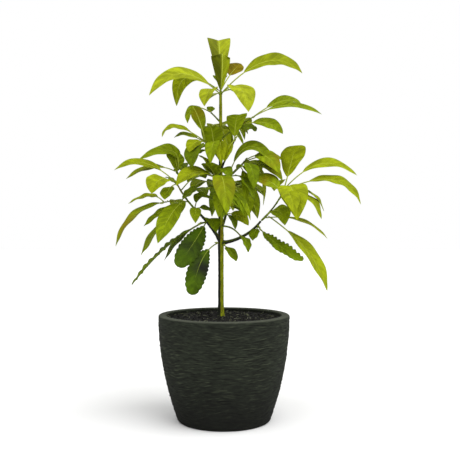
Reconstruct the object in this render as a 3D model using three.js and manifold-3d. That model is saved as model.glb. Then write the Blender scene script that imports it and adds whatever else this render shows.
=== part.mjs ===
// Young avocado tree standing in a round dark pot. Millimetres, +Z up, the pot stands on z = 0
// with its axis at x = y = 0. Headings are degrees in plan: 0 = +X, 90 = +Y. The trunk rises
// from the soil; boughs leave it and carry sprays of long drooping leaves.
import * as THREE from 'three';
import Module from 'manifold-3d';

const wasm = await Module();
wasm.setup();
const { Manifold, Mesh } = wasm;

// ---- driving sizes -------------------------------------------------------------------------
const CLEAR = 0.3;            // air left between two parts that meet
const KEEP_OFF = 1.5;         // nearest a leaf may come to a leaf of another spray or to a limb
const TURNS = [0, 4, -4, 8, -8, 13, -13, 18, -18];  // headings tried before a leaf is given up

const POT = {
  height: 240, foot: 105, swell: 44.5, wall: 19, floor: 16, heel: 7, lip: 4, sides: 44, rows: 8,
};
const SOIL = { edge: 232, crown: 236, gap: 0.4, mound: 46, rows: 5 };
const TRUNK = {
  foot: SOIL.crown + CLEAR, tip: 742, x: -7, lean: -0.8, sides: 12,
  // height and radius: root flare, thin shank, the swelling where the low boughs leave, taper
  girth: [[236.3, 8.7], [243, 7.4], [262, 6.7], [300, 6.4], [350, 6.3], [392, 6.7], [407, 6.9],
    [422, 6.5], [476, 5.2], [540, 4.6], [600, 4.2], [660, 3.9], [700, 3.7], [742, 3.4]],
};
const LIMB = { sides: 7, steps: 7 };
const STEM = { root: 2.3, tip: 1.5, sides: 6, steps: 5 };
const BLADE = {
  stations: [0.14, 0.32, 0.5, 0.68, 0.85],          // rings along the blade
  stalkRings: 2, stalkRadius: 1.3, thick: 0.02, thinnest: 1.7, spread: 8,
};
// how the half width swells and falls along the blade: exponents of v and of 1 - v
const OUTLINE = { plain: [0.85, 0.95], blunt: [0.8, 0.4], toothed: [0.75, 0.45] };

const COLOUR = {
  pot: [0.028, 0.032, 0.026], soil: [0.016, 0.013, 0.009], bark: [0.20, 0.22, 0.035],
  bough: [0.10, 0.13, 0.025], leaf: [0.22, 0.30, 0.03], old: [0.11, 0.17, 0.02],
};

// ---- small maths ---------------------------------------------------------------------------
const rad = (deg) => deg * Math.PI / 180;
const vec = (x, y, z) => new THREE.Vector3(x, y, z);
const mix = (a, b, t) => a + (b - a) * t;

/** Repeatable numbers from 0 to 1. */
function stream(seed) {
  let state = seed >>> 0;
  return () => {
    state = (Math.imul(state, 1664525) + 1013904223) >>> 0;
    return state / 4294967296;
  };
}

/** An arc in one upright plane: it sets off at `rise` and ends `reach` out and `climb` up. */
function arc(start, heading, reach, climb, rise, lift) {
  const pull = Math.hypot(reach, climb) * lift;
  const out = pull * Math.cos(rad(rise));
  const east = Math.cos(rad(heading));
  const north = Math.sin(rad(heading));
  return [
    start,
    vec(start.x + out * east, start.y + out * north, start.z + pull * Math.sin(rad(rise))),
    vec(start.x + reach * east, start.y + reach * north, start.z + climb),
  ];
}

function arcPoint([a, b, c], t) {
  const k = 1 - t;
  return vec(0, 0, 0).addScaledVector(a, k * k).addScaledVector(b, 2 * k * t)
    .addScaledVector(c, t * t);
}

function arcWay([a, b, c], t) {
  return b.clone().sub(a).multiplyScalar(1 - t).addScaledVector(c.clone().sub(b), t).normalize();
}

// ---- closed skins --------------------------------------------------------------------------
/** Rings of equal count joined into one closed skin; the last ring may be a single point. */
function skin(rings) {
  const points = [];
  const faces = [];
  for (const ring of rings) for (const p of ring) points.push(p);
  const n = rings[0].length;
  const last = rings[rings.length - 1].length === 1;
  const full = last ? rings.length - 1 : rings.length;
  for (let r = 0; r + 1 < full; r++) {
    for (let i = 0; i < n; i++) {
      const j = (i + 1) % n;
      const [a, b, c, d] = [r * n + i, r * n + j, (r + 1) * n + j, (r + 1) * n + i];
      faces.push([a, b, c], [a, c, d]);
    }
  }
  const capFrom = (first, turn) => {
    for (let i = 1; i + 1 < n; i++) {
      faces.push(turn ? [first, first + i + 1, first + i] : [first, first + i, first + i + 1]);
    }
  };
  capFrom(0, true);
  const end = (full - 1) * n;
  if (last) {
    for (let i = 0; i < n; i++) faces.push([end + i, end + (i + 1) % n, full * n]);
  } else {
    capFrom(end, false);
  }
  return solid(points, faces);
}

function solid(points, faces) {
  const mesh = new Mesh({
    numProp: 3,
    vertProperties: Float32Array.from(points.flatMap((p) => [p.x, p.y, p.z])),
    triVerts: Uint32Array.from(faces.flat()),
  });
  const body = new Manifold(mesh);
  if (body.volume() > 0) return body;
  return solid(points, faces.map(([a, b, c]) => [a, c, b]));
}

/** A round tapering limb through `stops`, each { at: point, way: direction, r: radius }. */
function tube(stops, sides, swell = 0) {
  let side = null;
  const rings = stops.map(({ at, way, r }) => {
    if (!side) side = Math.abs(way.z) > 0.9 ? vec(1, 0, 0) : vec(0, 0, 1);
    side = side.clone().addScaledVector(way, -side.dot(way)).normalize();
    const up = way.clone().cross(side);
    return Array.from({ length: sides }, (_, i) => {
      const turn = (i * 2 * Math.PI) / sides;
      const radius = (r + swell) / Math.cos(swell ? Math.PI / sides : 0);
      return at.clone().addScaledVector(side, radius * Math.cos(turn))
        .addScaledVector(up, radius * Math.sin(turn));
    });
  });
  return skin(rings);
}

/** A solid turned about the upright axis from a closed outline of [radius, height] pairs. */
function turned(outline, sides) {
  const on = outline.map(([r]) => r < 1e-6);
  const points = [];
  const at = outline.map(([r, z], k) => {
    const first = points.length;
    if (on[k]) points.push(vec(0, 0, z));
    else {
      for (let i = 0; i < sides; i++) {
        const turn = (i * 2 * Math.PI) / sides;
        points.push(vec(r * Math.cos(turn), r * Math.sin(turn), z));
      }
    }
    return first;
  });
  const faces = [];
  for (let k = 0; k < outline.length; k++) {
    const m = (k + 1) % outline.length;
    if (on[k] && on[m]) continue;
    for (let i = 0; i < sides; i++) {
      const j = (i + 1) % sides;
      if (!on[k]) faces.push([at[k] + i, at[k] + j, on[m] ? at[m] : at[m] + j]);
      if (!on[m]) faces.push([on[k] ? at[k] : at[k] + i, at[m] + j, at[m] + i]);
    }
  }
  return solid(points, faces);
}

// ---- the pot and its soil ------------------------------------------------------------------
const potRadius = (z) => POT.foot + POT.swell * (1 - (1 - z / POT.height) ** 2);
const hollowRadius = (z) => potRadius(z) - POT.wall;

function pot() {
  const outline = [[0, 0], [POT.foot - POT.heel, 0], [POT.foot - POT.heel * 0.3, POT.heel * 0.3]];
  for (let k = 0; k <= POT.rows; k++) {
    const z = mix(POT.heel, POT.height - POT.lip, k / POT.rows);
    outline.push([potRadius(z), z]);
  }
  const rim = potRadius(POT.height);
  outline.push([rim - POT.lip * 0.3, POT.height - POT.lip * 0.3], [rim - POT.lip, POT.height]);
  outline.push([rim - POT.wall + POT.lip, POT.height], [rim - POT.wall, POT.height - POT.lip]);
  for (let k = 1; k <= 4; k++) {
    const z = mix(SOIL.edge, POT.floor, k / 4);
    outline.push([hollowRadius(z), z]);
  }
  outline.push([0, POT.floor]);
  return turned(outline, POT.sides);
}

function soilHeight(r, edge) {
  const slope = Math.max(0, 1 - r / edge) ** 1.2;
  return SOIL.edge + (SOIL.crown - SOIL.edge) * Math.min(1, slope * 1.6);
}

function soil() {
  const outline = [[0, POT.floor + SOIL.gap]];
  for (let k = 4; k >= 1; k--) {
    const z = mix(SOIL.edge, POT.floor, k / 4) + (k === 4 ? SOIL.gap : 0);
    outline.push([hollowRadius(z) - SOIL.gap * 1.5, z]);
  }
  const edge = hollowRadius(SOIL.edge) - SOIL.gap * 1.5;
  for (let k = 0; k <= SOIL.rows; k++) {
    const r = mix(edge, SOIL.mound * 0.4, k / SOIL.rows);
    outline.push([r, soilHeight(r, edge)]);
  }
  outline.push([0, SOIL.crown]);
  return turned(outline, POT.sides);
}

// ---- limbs ---------------------------------------------------------------------------------
const trunkAxis = (z) => vec(
  TRUNK.x + TRUNK.lean * (z - TRUNK.foot) / (TRUNK.tip - TRUNK.foot), 0, z);

function trunk(swell = 0) {
  const way = trunkAxis(TRUNK.tip).sub(trunkAxis(TRUNK.foot)).normalize();
  const level = vec(0, 0, 1);
  const stops = TRUNK.girth.map(([z, r], k) => ({ at: trunkAxis(z), way: k ? way : level, r }));
  stops[stops.length - 1].at.addScaledVector(way, swell);
  return tube(stops, TRUNK.sides, swell);
}

function trunkRadius(z) {
  const rows = TRUNK.girth;
  for (let k = 1; k < rows.length; k++) {
    const [[z0, r0], [z1, r1]] = [rows[k - 1], rows[k]];
    if (z <= z1) return mix(r0, r1, (z - z0) / (z1 - z0));
  }
  return rows[rows.length - 1][1];
}

function limb(line, from, r0, r1, steps, sides, swell = 0) {
  const stops = Array.from({ length: steps + 1 }, (_, k) => {
    const t = mix(from, 1, k / steps);
    return { at: arcPoint(line, t), way: arcWay(line, t), r: mix(r0, r1, k / steps) };
  });
  stops[steps].at.addScaledVector(stops[steps].way, swell);
  return tube(stops, sides, swell);
}

// name, height on the trunk, heading, reach, climb, rise, lift, radius at the root and the tip
const BOUGHS = [
  ['bough_left', 407, 185, 54, 68, 58, 0.55, 4.6, 2.5],
  ['bough_right', 403, -15, 94, 50, 6, 0.55, 4.4, 2.3],
  ['bough_fork_left', 548, 168, 100, 12, 28, 0.55, 2.6, 1.6],
  ['bough_front_right', 570, -40, 40, 62, 60, 0.55, 2.3, 1.5],
  ['bough_back_low', 432, 72, 58, 62, 40, 0.55, 3.6, 2.2],
  ['bough_back_high', 596, 118, 44, 40, 48, 0.55, 2.5, 1.7],
];

// ---- leaves --------------------------------------------------------------------------------
/**
 * One leaf: where on its stem it springs (0 root, 1 tip), its heading, how far it reaches out
 * and climbs, the rise and the lift of its arch, its width, and how far it rolls on its midrib.
 */
function leaf(at, heading, reach, climb, rise, lift, width, roll = 0, more = {}) {
  const { fold = 13, shape = 'plain', stalk = 0.22 } = more;
  return { at, heading, reach, climb, rise, lift, width, roll, fold, shape, stalk };
}

/** A fan of leaves dealt along a stem by the golden turn, each a little unlike the last. */
function fan(count, seed, heading, spread, reach, climb, rise, width) {
  const next = stream(seed);
  return Array.from({ length: count }, (_, k) => {
    const turn = ((k * 0.618034 + 0.31) % 1) * 2 - 1;
    const at = mix(0.35, 1, (k + 0.5) / count);
    const size = mix(0.78, 1.08, next());
    return leaf(at, heading + turn * spread + mix(-6, 6, next()), reach * size,
      climb + mix(-34, 30, next()), rise + mix(-14, 14, next()), mix(0.66, 0.86, next()),
      width * mix(0.85, 1.1, next()), mix(-22, 22, next()));
  });
}

function halfWidth(v, shape) {
  const [a, b] = OUTLINE[shape];
  const peak = a / (a + b);
  return (v ** a * (1 - v) ** b) / (peak ** a * (1 - peak) ** b);
}

/** Across the leaf at a point: the direction to its side and the direction it faces. */
function leafFrame(line, t, { heading, roll }) {
  const way = arcWay(line, t);
  const flat = vec(-Math.sin(rad(heading)), Math.cos(rad(heading)), 0);
  const up = way.clone().cross(flat);
  const [c, s] = [Math.cos(rad(roll)), Math.sin(rad(roll))];
  const side = flat.clone().multiplyScalar(c).addScaledVector(up, s);
  const face = up.multiplyScalar(c).addScaledVector(flat, -s);
  return { side, face };
}

function leafEdge(line, l, v) {
  const t = mix(l.stalk, 1, v);
  const at = arcPoint(line, t);
  const { side, face } = leafFrame(line, t, l);
  const half = halfWidth(v, l.shape) * l.width / 2;
  const out = side.clone().multiplyScalar(half * Math.cos(rad(l.fold)));
  const up = face.clone().multiplyScalar(half * Math.sin(rad(l.fold)));
  return { at, face, left: at.clone().add(out).add(up), right: at.clone().sub(out).add(up) };
}

/** The leaf's body: a thin stalk that opens into a folded blade, thickest on the midrib. */
function leafSolid(line, l) {
  const long = Math.hypot(l.reach, l.climb);
  const thick = Math.max(BLADE.thinnest, BLADE.thick * long);
  const rings = [];
  for (let k = 0; k < BLADE.stalkRings; k++) {
    const t = (l.stalk * k) / (BLADE.stalkRings - 1);
    const at = arcPoint(line, t);
    const { side, face } = leafFrame(line, t, l);
    const r = BLADE.stalkRadius;
    rings.push([at.clone().addScaledVector(side, r), at.clone().addScaledVector(face, r),
      at.clone().addScaledVector(side, -r), at.clone().addScaledVector(face, -r)]);
  }
  for (const v of BLADE.stations) {
    const { at, face, left, right } = leafEdge(line, l, v);
    const half = (thick / 2) * mix(1, 0.6, v);
    rings.push([left, at.clone().addScaledVector(face, half), right,
      at.clone().addScaledVector(face, -half)]);
  }
  rings.push([arcPoint(line, 1)]);
  return skin(rings);
}

// ---- keeping leaves apart ------------------------------------------------------------------
/** The leaf as a thin sheet of triangles, with its wires and points, for the nearness test. */
function leafNet(line, l) {
  const rows = [[arcPoint(line, l.stalk)]];
  for (let k = 1; k < BLADE.spread; k++) {
    const { at, left, right } = leafEdge(line, l, k / BLADE.spread);
    rows.push([left, at, right]);
  }
  rows.push([arcPoint(line, 1)]);
  const tris = [];
  const wires = [];
  const column = (row, c) => (row.length === 1 ? row[0] : row[c]);
  for (let r = 0; r + 1 < rows.length; r++) {
    for (let c = 0; c < 3; c++) wires.push([column(rows[r], c), column(rows[r + 1], c)]);
    for (let c = 0; c < 2; c++) {
      const [a, b] = [column(rows[r], c), column(rows[r], c + 1)];
      const [d, e] = [column(rows[r + 1], c), column(rows[r + 1], c + 1)];
      tris.push([a, b, e], [a, e, d]);
      wires.push([a, b], [a, e]);
    }
  }
  const stalk = Array.from({ length: 5 }, (_, k) => arcPoint(line, l.stalk * k / 4));
  for (let k = 0; k < 4; k++) wires.push([stalk[k], stalk[k + 1]]);
  const points = rows.flat().concat(stalk.slice(1));
  const box = new THREE.Box3().setFromPoints(points.concat(stalk[0])).expandByScalar(KEEP_OFF);
  return { tris, wires, points, box };
}

function pierces([p, q], [a, b, c]) {
  const way = q.clone().sub(p);
  const ab = b.clone().sub(a);
  const ac = c.clone().sub(a);
  const h = way.clone().cross(ac);
  const det = ab.dot(h);
  if (Math.abs(det) < 1e-9) return false;
  const s = p.clone().sub(a);
  const u = s.dot(h) / det;
  const g = s.cross(ab);
  const v = way.dot(g) / det;
  const t = ac.dot(g) / det;
  return u >= 0 && v >= 0 && u + v <= 1 && t >= 0 && t <= 1;
}

function nearTo(point, [a, b, c]) {
  const near = new THREE.Triangle(a, b, c).closestPointToPoint(point, vec(0, 0, 0));
  return near.distanceTo(point) < KEEP_OFF;
}

function netsTouch(m, n) {
  if (!m.box.intersectsBox(n.box)) return false;
  return m.wires.some((w) => n.tris.some((t) => pierces(w, t)))
    || n.wires.some((w) => m.tris.some((t) => pierces(w, t)))
    || m.points.some((p) => n.tris.some((t) => nearTo(p, t)))
    || n.points.some((p) => m.tris.some((t) => nearTo(p, t)));
}

/** Whether a leaf comes too near a limb, given as points with a radius each. */
function meetsLimb(net, beads) {
  return beads.some(({ at, r }) => net.tris.some(([a, b, c]) => {
    const near = new THREE.Triangle(a, b, c).closestPointToPoint(at, vec(0, 0, 0));
    return near.distanceTo(at) < r + KEEP_OFF;
  }));
}

function beadsOf(line, from, to, r0, r1) {
  return Array.from({ length: 17 }, (_, k) => {
    const t = mix(from, to, k / 16);
    return { at: arcPoint(line, t), r: mix(r0, r1, t) };
  });
}

// ---- masses of foliage ---------------------------------------------------------------------
// Each mass: name, what it grows from, where on it, its stem (heading, reach, climb, rise), the
// leaves that give the crown its outline, more that fill it once those stand, and where there
// is one a side twig that springs from the stem with leaves of its own.
const LOWER = { shape: 'toothed', fold: 10, stalk: 0.12 };
const MASSES = [
  { name: 'foliage_crown', on: 'trunk', at: TRUNK.tip, stem: [90, 1, 14, 88], leaves: [
    leaf(0.9, 98, 75, 70, 80, 2.02, 56, 0, { fold: 15, stalk: 0.06 }),
    leaf(0.1, 116, 10, 66, 100, 2.1, 51, 0, { fold: -20, stalk: 0.02 }),
    leaf(0.1, 188, 163, -8, 42, 0.84, 50, -44, { stalk: 0.12 }),
    leaf(0.5, 155, 115, -25, 38, 1.28, 40, 40),
    leaf(0.0, 238, 66, -36, 26, 0.8, 45),
    leaf(0.6, 45, 67, 74, 58, 0.6, 44, 30, { stalk: 0.45 }),
    leaf(0.1, 2, 188, 49, 48, 0.87, 55, 44, { stalk: 0.24 }),
    leaf(0.1, -50, 96, -53, 26, 0.8, 66, 8),
  ], more: [
    leaf(0.5, 92, 96, 34, 58, 0.8, 36),
    leaf(0.3, 58, 118, 4, 24, 0.7, 36),
    leaf(0.2, 112, 122, 0, 12, 0.7, 36),
  ] },
  { name: 'foliage_up_left', on: 'trunk', at: 678, stem: [165, 24, 25, 50], leaves: [
    leaf(0.95, 100, 14, 17, 60, 0.6, 20, 0, { stalk: 0.1 }),
    leaf(1, 190, 53, -27, 30, 1.02, 38, -24),
  ] },
  { name: 'foliage_mid_left', on: 'trunk', at: 590, stem: [200, 37, 45, 55], leaves: [
    leaf(1, 205, 39, 76, 72, 0.7, 36, 20),
    leaf(0.85, 180, 104, 14, 38, 1.06, 33, -27),
    leaf(0.8, 172, 80, 16, 34, 0.85, 30, -25),
    leaf(0.9, 225, 54, -26, 12, 0.7, 38, -20),
    leaf(0.45, 250, 22, 54, 85, 0.8, 48, 10, { stalk: 0.12 }),
    leaf(0.5, 160, 44, -14, 10, 0.6, 24),
    leaf(0.7, 226, 56, -54, 14, 0.8, 58),
  ], more: [leaf(0.3, 130, 70, 10, 50, 0.8, 34)] },
  { name: 'foliage_fork_left', on: 'bough_fork_left', at: 1, stem: [165, 6, 8, 60], leaves: [
    leaf(0.6, 180, 91, 30, 102, 0.93, 42, -42),
    leaf(0.6, 130, 34, 52, 85, 0.8, 50, 0, { stalk: 0.03 }),
    leaf(0.9, 180, 118, -17, 28, 0.55, 35, -28),
  ], more: [leaf(0.8, 84, 84, 6, 40, 0.8, 36)] },
  { name: 'foliage_left', on: 'bough_left', at: 1, stem: [180, 46, 63, 45], leaves: [
    leaf(1, 178, 145, 31, 45, 0.76, 34, -34),
    leaf(1, 233, 84, -26, 20, 0.85, 54, -20),
    leaf(1, 238, 46, -38, -10, 0.6, 38, 0, { stalk: 0.35 }),
    leaf(0.9, 140, 40, 24, 40, 0.7, 24),
    leaf(0.1, 60, 34, 40, 70, 0.7, 26),
    leaf(0.08, 274, 28, -32, 22, 0.7, 27),
    leaf(0.1, 20, 46, -8, 15, 0.6, 28, 30),
  ], more: [
    leaf(0.75, 58, 100, 34, 40, 0.8, 42),
    leaf(0.5, 66, 104, 6, 34, 0.8, 42),
  ], twig: { at: 0.35, stem: [195, 57, -2, 10], leaves: [
    leaf(1, 178, 82, -3, 54, 0.5, 28, -24),
    leaf(0.8, 185, 119, -102, -6, 0.58, 36, -27, { stalk: 0.1 }),
    leaf(0.45, 192, 76, -58, -30, 0.45, 26, -28),
    leaf(0.2, 229, 80, -95, -26, 0.4, 47, -32, { stalk: 0.14 }),
    leaf(0.35, 170, 91, -124.5, -49, 0.69, 40, -34),
    leaf(0.3, 15, 42, 36, 45, 0.5, 40, 20, { stalk: 0.1 }),
    leaf(0.7, 80, 84, -28, 14, 0.7, 40),
  ] } },
  { name: 'foliage_low_left', on: 'bough_left', at: 0.6, stem: [200, 14, -3, -10], leaves: [
    leaf(0.9, 180, 160, -142, -24, 0.38, 48, -12, { ...LOWER, fold: 14, stalk: 0.16 }),
    leaf(0.7, 168, 92, -88, -24, 0.5, 38, -30),
    leaf(0.15, 224, 85, -99, -55, 0.32, 52, -52, LOWER),
    leaf(0.2, -50, 38, -23, 48, 0.7, 42),
  ] },
  { name: 'foliage_low_front', on: 'trunk', at: 402, stem: [218, 9, 1, 5], leaves: [
    leaf(0.9, 222, 77, -114, -16, 0.42, 48, -52, { ...LOWER, stalk: 0.26 }),
  ] },
  { name: 'foliage_low_right', on: 'trunk', at: 398, stem: [-52, 9, 1, 5], leaves: [
    leaf(0.9, -46, 43, -37, -16, 0.45, 33),
  ] },
  { name: 'foliage_under_right', on: 'trunk', at: 441, stem: [-40, 60, -24, 5], leaves: [
    leaf(0.95, -54, 29, -37, -10, 0.6, 24, 0, { stalk: 0.1 }),
  ] },
  { name: 'foliage_side_right', on: 'bough_right', at: 0.9, stem: [-50, 5, -7, -58], leaves: [
    leaf(0.9, -25, 104, -73, -49, 0.36, 43, 24, LOWER),
    leaf(0.5, 235, 24, -32, -30, 0.5, 28),
  ] },
  { name: 'foliage_right', on: 'bough_right', at: 1, stem: [-12, 52, 70, 42], leaves: [
    leaf(0.2, -3, 135, -171, -34, 0.62, 58, 30, { stalk: 0.22 }),
    leaf(0.1, 0, 143, -47, 8, 0.62, 24, 22),
    leaf(0.15, -42, 55, -20, 38, 0.95, 54, 20, { stalk: 0.12 }),
    leaf(1, 48, 44, 103, 66, 0.75, 71, 0, { fold: 10, shape: 'blunt', stalk: 0.2 }),
    leaf(1, 4, 167, 32, 49, 0.78, 41, 35, { stalk: 0.24 }),
    leaf(0.97, -6, 171, -32, 25, 0.84, 43, 30),
    leaf(0.95, -75, 90, -66, 28, 0.7, 68, 8, { stalk: 0.15 }),
    leaf(0.92, -20, 94, -44, 18, 0.7, 34),
    leaf(0.85, -37, 102, -56, 12, 0.7, 40),
    leaf(0.9, 172, 66, 32, 55, 0.6, 56, -35, { stalk: 0.12 }),
  ], more: [
    leaf(0.6, 60, 120, -20, 34, 0.78, 46),
    leaf(0.85, 95, 112, 14, 44, 0.8, 42),
    leaf(0.7, 283, 112, -36, 30, 0.75, 46),
  ] },
  { name: 'foliage_mid_right', on: 'trunk', at: 540, stem: [8, 56, 52, 35], leaves: [
    leaf(0.25, -5, 122, 5, 72, 1.2, 46, 35, { stalk: 0.14 }),
    leaf(1, -30, 88, -33, 30, 0.7, 46, 36),
    leaf(0.95, 14, 98, 4, 24, 0.7, 38, 30),
    leaf(0.9, -15, 92, -42, 10, 0.6, 40, 34),
    leaf(0.85, -52, 60, -60, 10, 0.7, 36),
    leaf(0.75, -68, 32, -86, -20, 0.5, 22),
    leaf(0.35, -28, 66, -14, 48, 0.9, 48),
    leaf(0.25, -40, 76, -50, 20, 0.6, 40),
    leaf(1, -4, 42, -104, 0, 0.45, 28, 20),
  ], more: [leaf(0.7, 60, 104, -10, 30, 0.8, 42)] },
  { name: 'foliage_up_right', on: 'trunk', at: 640, stem: [5, 72, 50, 40], leaves: [
    leaf(0.6, -8, 99, -22, 15, 0.72, 43, 41),
    leaf(1, 15, 121, 37, 38, 0.84, 39, 36),
    leaf(0.95, -6, 163, 7, 33, 0.62, 31, 34),
    leaf(0.3, 8, 61, 3, 33, 0.7, 36, 34, { shape: 'blunt' }),
  ], more: [
    leaf(0.5, 70, 86, 4, 44, 0.8, 36),
    leaf(0.45, 290, 84, -8, 38, 0.75, 36),
  ] },
  { name: 'foliage_front_right', on: 'bough_front_right', at: 1, stem: [-20, 3, 6, 70], leaves: [
    leaf(0.5, 60, 22, 60, 88, 0.9, 53, 0, { fold: 10, shape: 'blunt', stalk: 0.06 }),
    leaf(0.9, 235, 41, -54, -35, 0.6, 29),
  ] },
  { name: 'foliage_front', on: 'trunk', at: 540, stem: [235, 14, 9, 30], leaves: [
    leaf(1, 282.5, 104, -83, 20, 0.6, 51, 0, { stalk: 0.2 }),
    leaf(0.6, 216, 113, -16, 33, 0.66, 54, -25, { stalk: 0.08 }),
  ], more: [
    leaf(0.9, 300, 62, -5, 66, 0.85, 34, 10),
    leaf(0.8, 230, 46, 34, 50, 0.7, 52, 0, { stalk: 0.1 }),
    leaf(1, 196, 44, 52, 64, 0.7, 34),
  ] },
  { name: 'foliage_lower_front', on: 'trunk', at: 462, stem: [-30, 14, 10, 40], leaves: [
    leaf(1, -30, 55, -14, 48, 0.8, 36, 15),
    leaf(0.6, -5, 56, -26, 10, 0.6, 42, 34),
    leaf(0.5, -35, 31, -34, 5, 0.6, 34),
  ] },
  { name: 'foliage_back_low', on: 'bough_back_low', at: 1, stem: [82, 38, 46, 50],
    leaves: [], more: fan(9, 11, 80, 44, 118, -30, 30, 44) },
  { name: 'foliage_back_high', on: 'bough_back_high', at: 1, stem: [104, 22, 34, 60],
    leaves: [], more: fan(7, 29, 70, 34, 122, -2, 40, 38) },
  { name: 'foliage_back_mid', on: 'trunk', at: 506, stem: [96, 34, 26, 40],
    leaves: [], more: fan(6, 47, 92, 74, 116, -28, 34, 40) },
  { name: 'foliage_back_top', on: 'trunk', at: 655, stem: [76, 20, 18, 45],
    leaves: [], more: fan(6, 83, 78, 24, 116, -12, 32, 36) },
  { name: 'foliage_front_high', on: 'trunk', at: 612, stem: [250, 16, 12, 42],
    leaves: [], more: fan(4, 61, 246, 34, 60, -14, 36, 34) },
  { name: 'foliage_front_low', on: 'trunk', at: 492, stem: [286, 18, 12, 35],
    leaves: [leaf(0.1, 186, 60, 18, 28, 0.6, 32, -20)],
    more: fan(5, 97, 292, 40, 92, -22, 30, 38) },
];

// ---- growing -------------------------------------------------------------------------------
const shafts = new Map([['trunk', trunk()]]);     // limbs by name, as built
const sleeves = new Map([['trunk', trunk(CLEAR)]]);  // the same, grown by the clearance
const lines = new Map();
const limbBeads = TRUNK.girth.slice(1).flatMap(([z], k) => {
  const low = TRUNK.girth[k][0];
  return [0, 0.25, 0.5, 0.75].map((s) => {
    const at = trunkAxis(mix(low, z, s));
    return { at, r: trunkRadius(at.z), of: 'trunk' };
  });
});

for (const [name, height, heading, reach, climb, rise, lift, r0, r1] of BOUGHS) {
  const line = arc(trunkAxis(height), heading, reach, climb, rise, lift);
  const body = limb(line, 0, r0, r1, LIMB.steps, LIMB.sides).subtract(sleeves.get('trunk'));
  shafts.set(name, largest(body));
  sleeves.set(name, limb(line, 0, r0, r1, LIMB.steps, LIMB.sides, CLEAR));
  lines.set(name, { line, r0, r1 });
  for (const bead of beadsOf(line, 0.1, 1, r0, r1)) limbBeads.push({ ...bead, of: name });
}

function largest(body) {
  return body.decompose().sort((a, b) => b.volume() - a.volume())[0];
}

/** Where a mass springs: on the axis of its limb, whose skin it then stops short of. */
function root({ on, at }) {
  return on === 'trunk' ? trunkAxis(at) : arcPoint(lines.get(on).line, at);
}

const grown = MASSES.map((mass) => {
  const [heading, reach, climb, rise] = mass.stem;
  const line = arc(root(mass), heading, reach, climb, rise, 0.55);
  const shoots = [{ line, leaves: mass.leaves, r0: STEM.root, r1: STEM.tip }];
  if (mass.twig) {
    const [h, out, up, lean] = mass.twig.stem;
    shoots.push({ line: arc(arcPoint(line, mass.twig.at), h, out, up, lean, 0.55),
      leaves: mass.twig.leaves, r0: STEM.tip, r1: STEM.tip * 0.8 });
  }
  return { mass, shoots, nets: [], bodies: [] };
});
const stemBeads = grown.flatMap(({ mass, shoots }) => shoots.flatMap(({ line, r0, r1 }) =>
  beadsOf(line, 0.2, 1, r0, r1).map((bead) => ({ ...bead, of: mass.name }))));

/** The first heading, of those tried, at which the leaf keeps clear of all that stands. */
function place(own, shoot, l) {
  const others = grown.filter((g) => g !== own).flatMap((g) => g.nets);
  const beads = limbBeads.concat(stemBeads.filter((b) => b.of !== own.mass.name))
    .filter((b) => b.at.distanceTo(arcPoint(shoot.line, l.at)) > STEM.root * 4);
  for (const turn of TURNS) {
    const turnedLeaf = { ...l, heading: l.heading + turn };
    const foot = arcPoint(shoot.line, l.at);
    const line = arc(foot, turnedLeaf.heading, l.reach, l.climb, l.rise, l.lift);
    const net = leafNet(line, turnedLeaf);
    if (!others.some((o) => netsTouch(net, o)) && !meetsLimb(net, beads)) {
      own.nets.push(net);
      own.bodies.push(leafSolid(line, turnedLeaf));
      return;
    }
  }
}

for (const own of grown) {
  for (const shoot of own.shoots) for (const l of shoot.leaves) place(own, shoot, l);
}
for (const own of grown) {
  for (const l of own.mass.more ?? []) place(own, own.shoots[0], l);
}

// ---- assembly ------------------------------------------------------------------------------
function finish(rgb, roughness) {
  return new THREE.MeshStandardMaterial({ color: new THREE.Color(...rgb), roughness, metalness: 0 });
}

function meshOf(name, body, material) {
  const { vertProperties, triVerts, numProp } = body.getMesh();
  const flat = new Float32Array((vertProperties.length / numProp) * 3);
  for (let i = 0; i < flat.length / 3; i++) {
    for (let k = 0; k < 3; k++) flat[i * 3 + k] = vertProperties[i * numProp + k];
  }
  const geometry = new THREE.BufferGeometry();
  geometry.setAttribute('position', new THREE.BufferAttribute(flat, 3));
  geometry.setIndex(new THREE.BufferAttribute(new Uint32Array(triVerts), 1));
  geometry.computeVertexNormals();
  const mesh = new THREE.Mesh(geometry, material);
  mesh.name = name;
  return mesh;
}

const tree = new THREE.Group();
tree.name = 'avocado_tree_in_a_pot';
tree.add(meshOf('pot', pot(), finish(COLOUR.pot, 0.75)));
tree.add(meshOf('soil', soil(), finish(COLOUR.soil, 0.95)));
for (const [name, body] of shafts) {
  tree.add(meshOf(name, body, finish(name === 'trunk' ? COLOUR.bark : COLOUR.bough, 0.7)));
}
for (const { mass, shoots, bodies } of grown) {
  const stems = shoots.map(({ line, r0, r1 }) =>
    limb(line, 0, r0, r1, STEM.steps, STEM.sides));
  const body = Manifold.union(stems.concat(bodies)).subtract(sleeves.get(mass.on));
  const old = mass.name.startsWith('foliage_low') || mass.name.startsWith('foliage_under');
  tree.add(meshOf(mass.name, largest(body), finish(old ? COLOUR.old : COLOUR.leaf, 0.5)));
}

export default tree;
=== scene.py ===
"""A young avocado tree in a round dark pot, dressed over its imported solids.

The growth rule is the one the solids were grown by, in millimetres, with headings in degrees in
plan: 0 = +X, 90 = +Y. Every mesh is written in metres, +Z up, the pot's axis at x = y = 0.
"""
import logging
import math
from dataclasses import dataclass, field, replace
from enum import Enum
from functools import partial
from typing import Callable, Sequence

import bmesh
import bpy
import numpy as np
from mathutils import Matrix, Vector, noise


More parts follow.
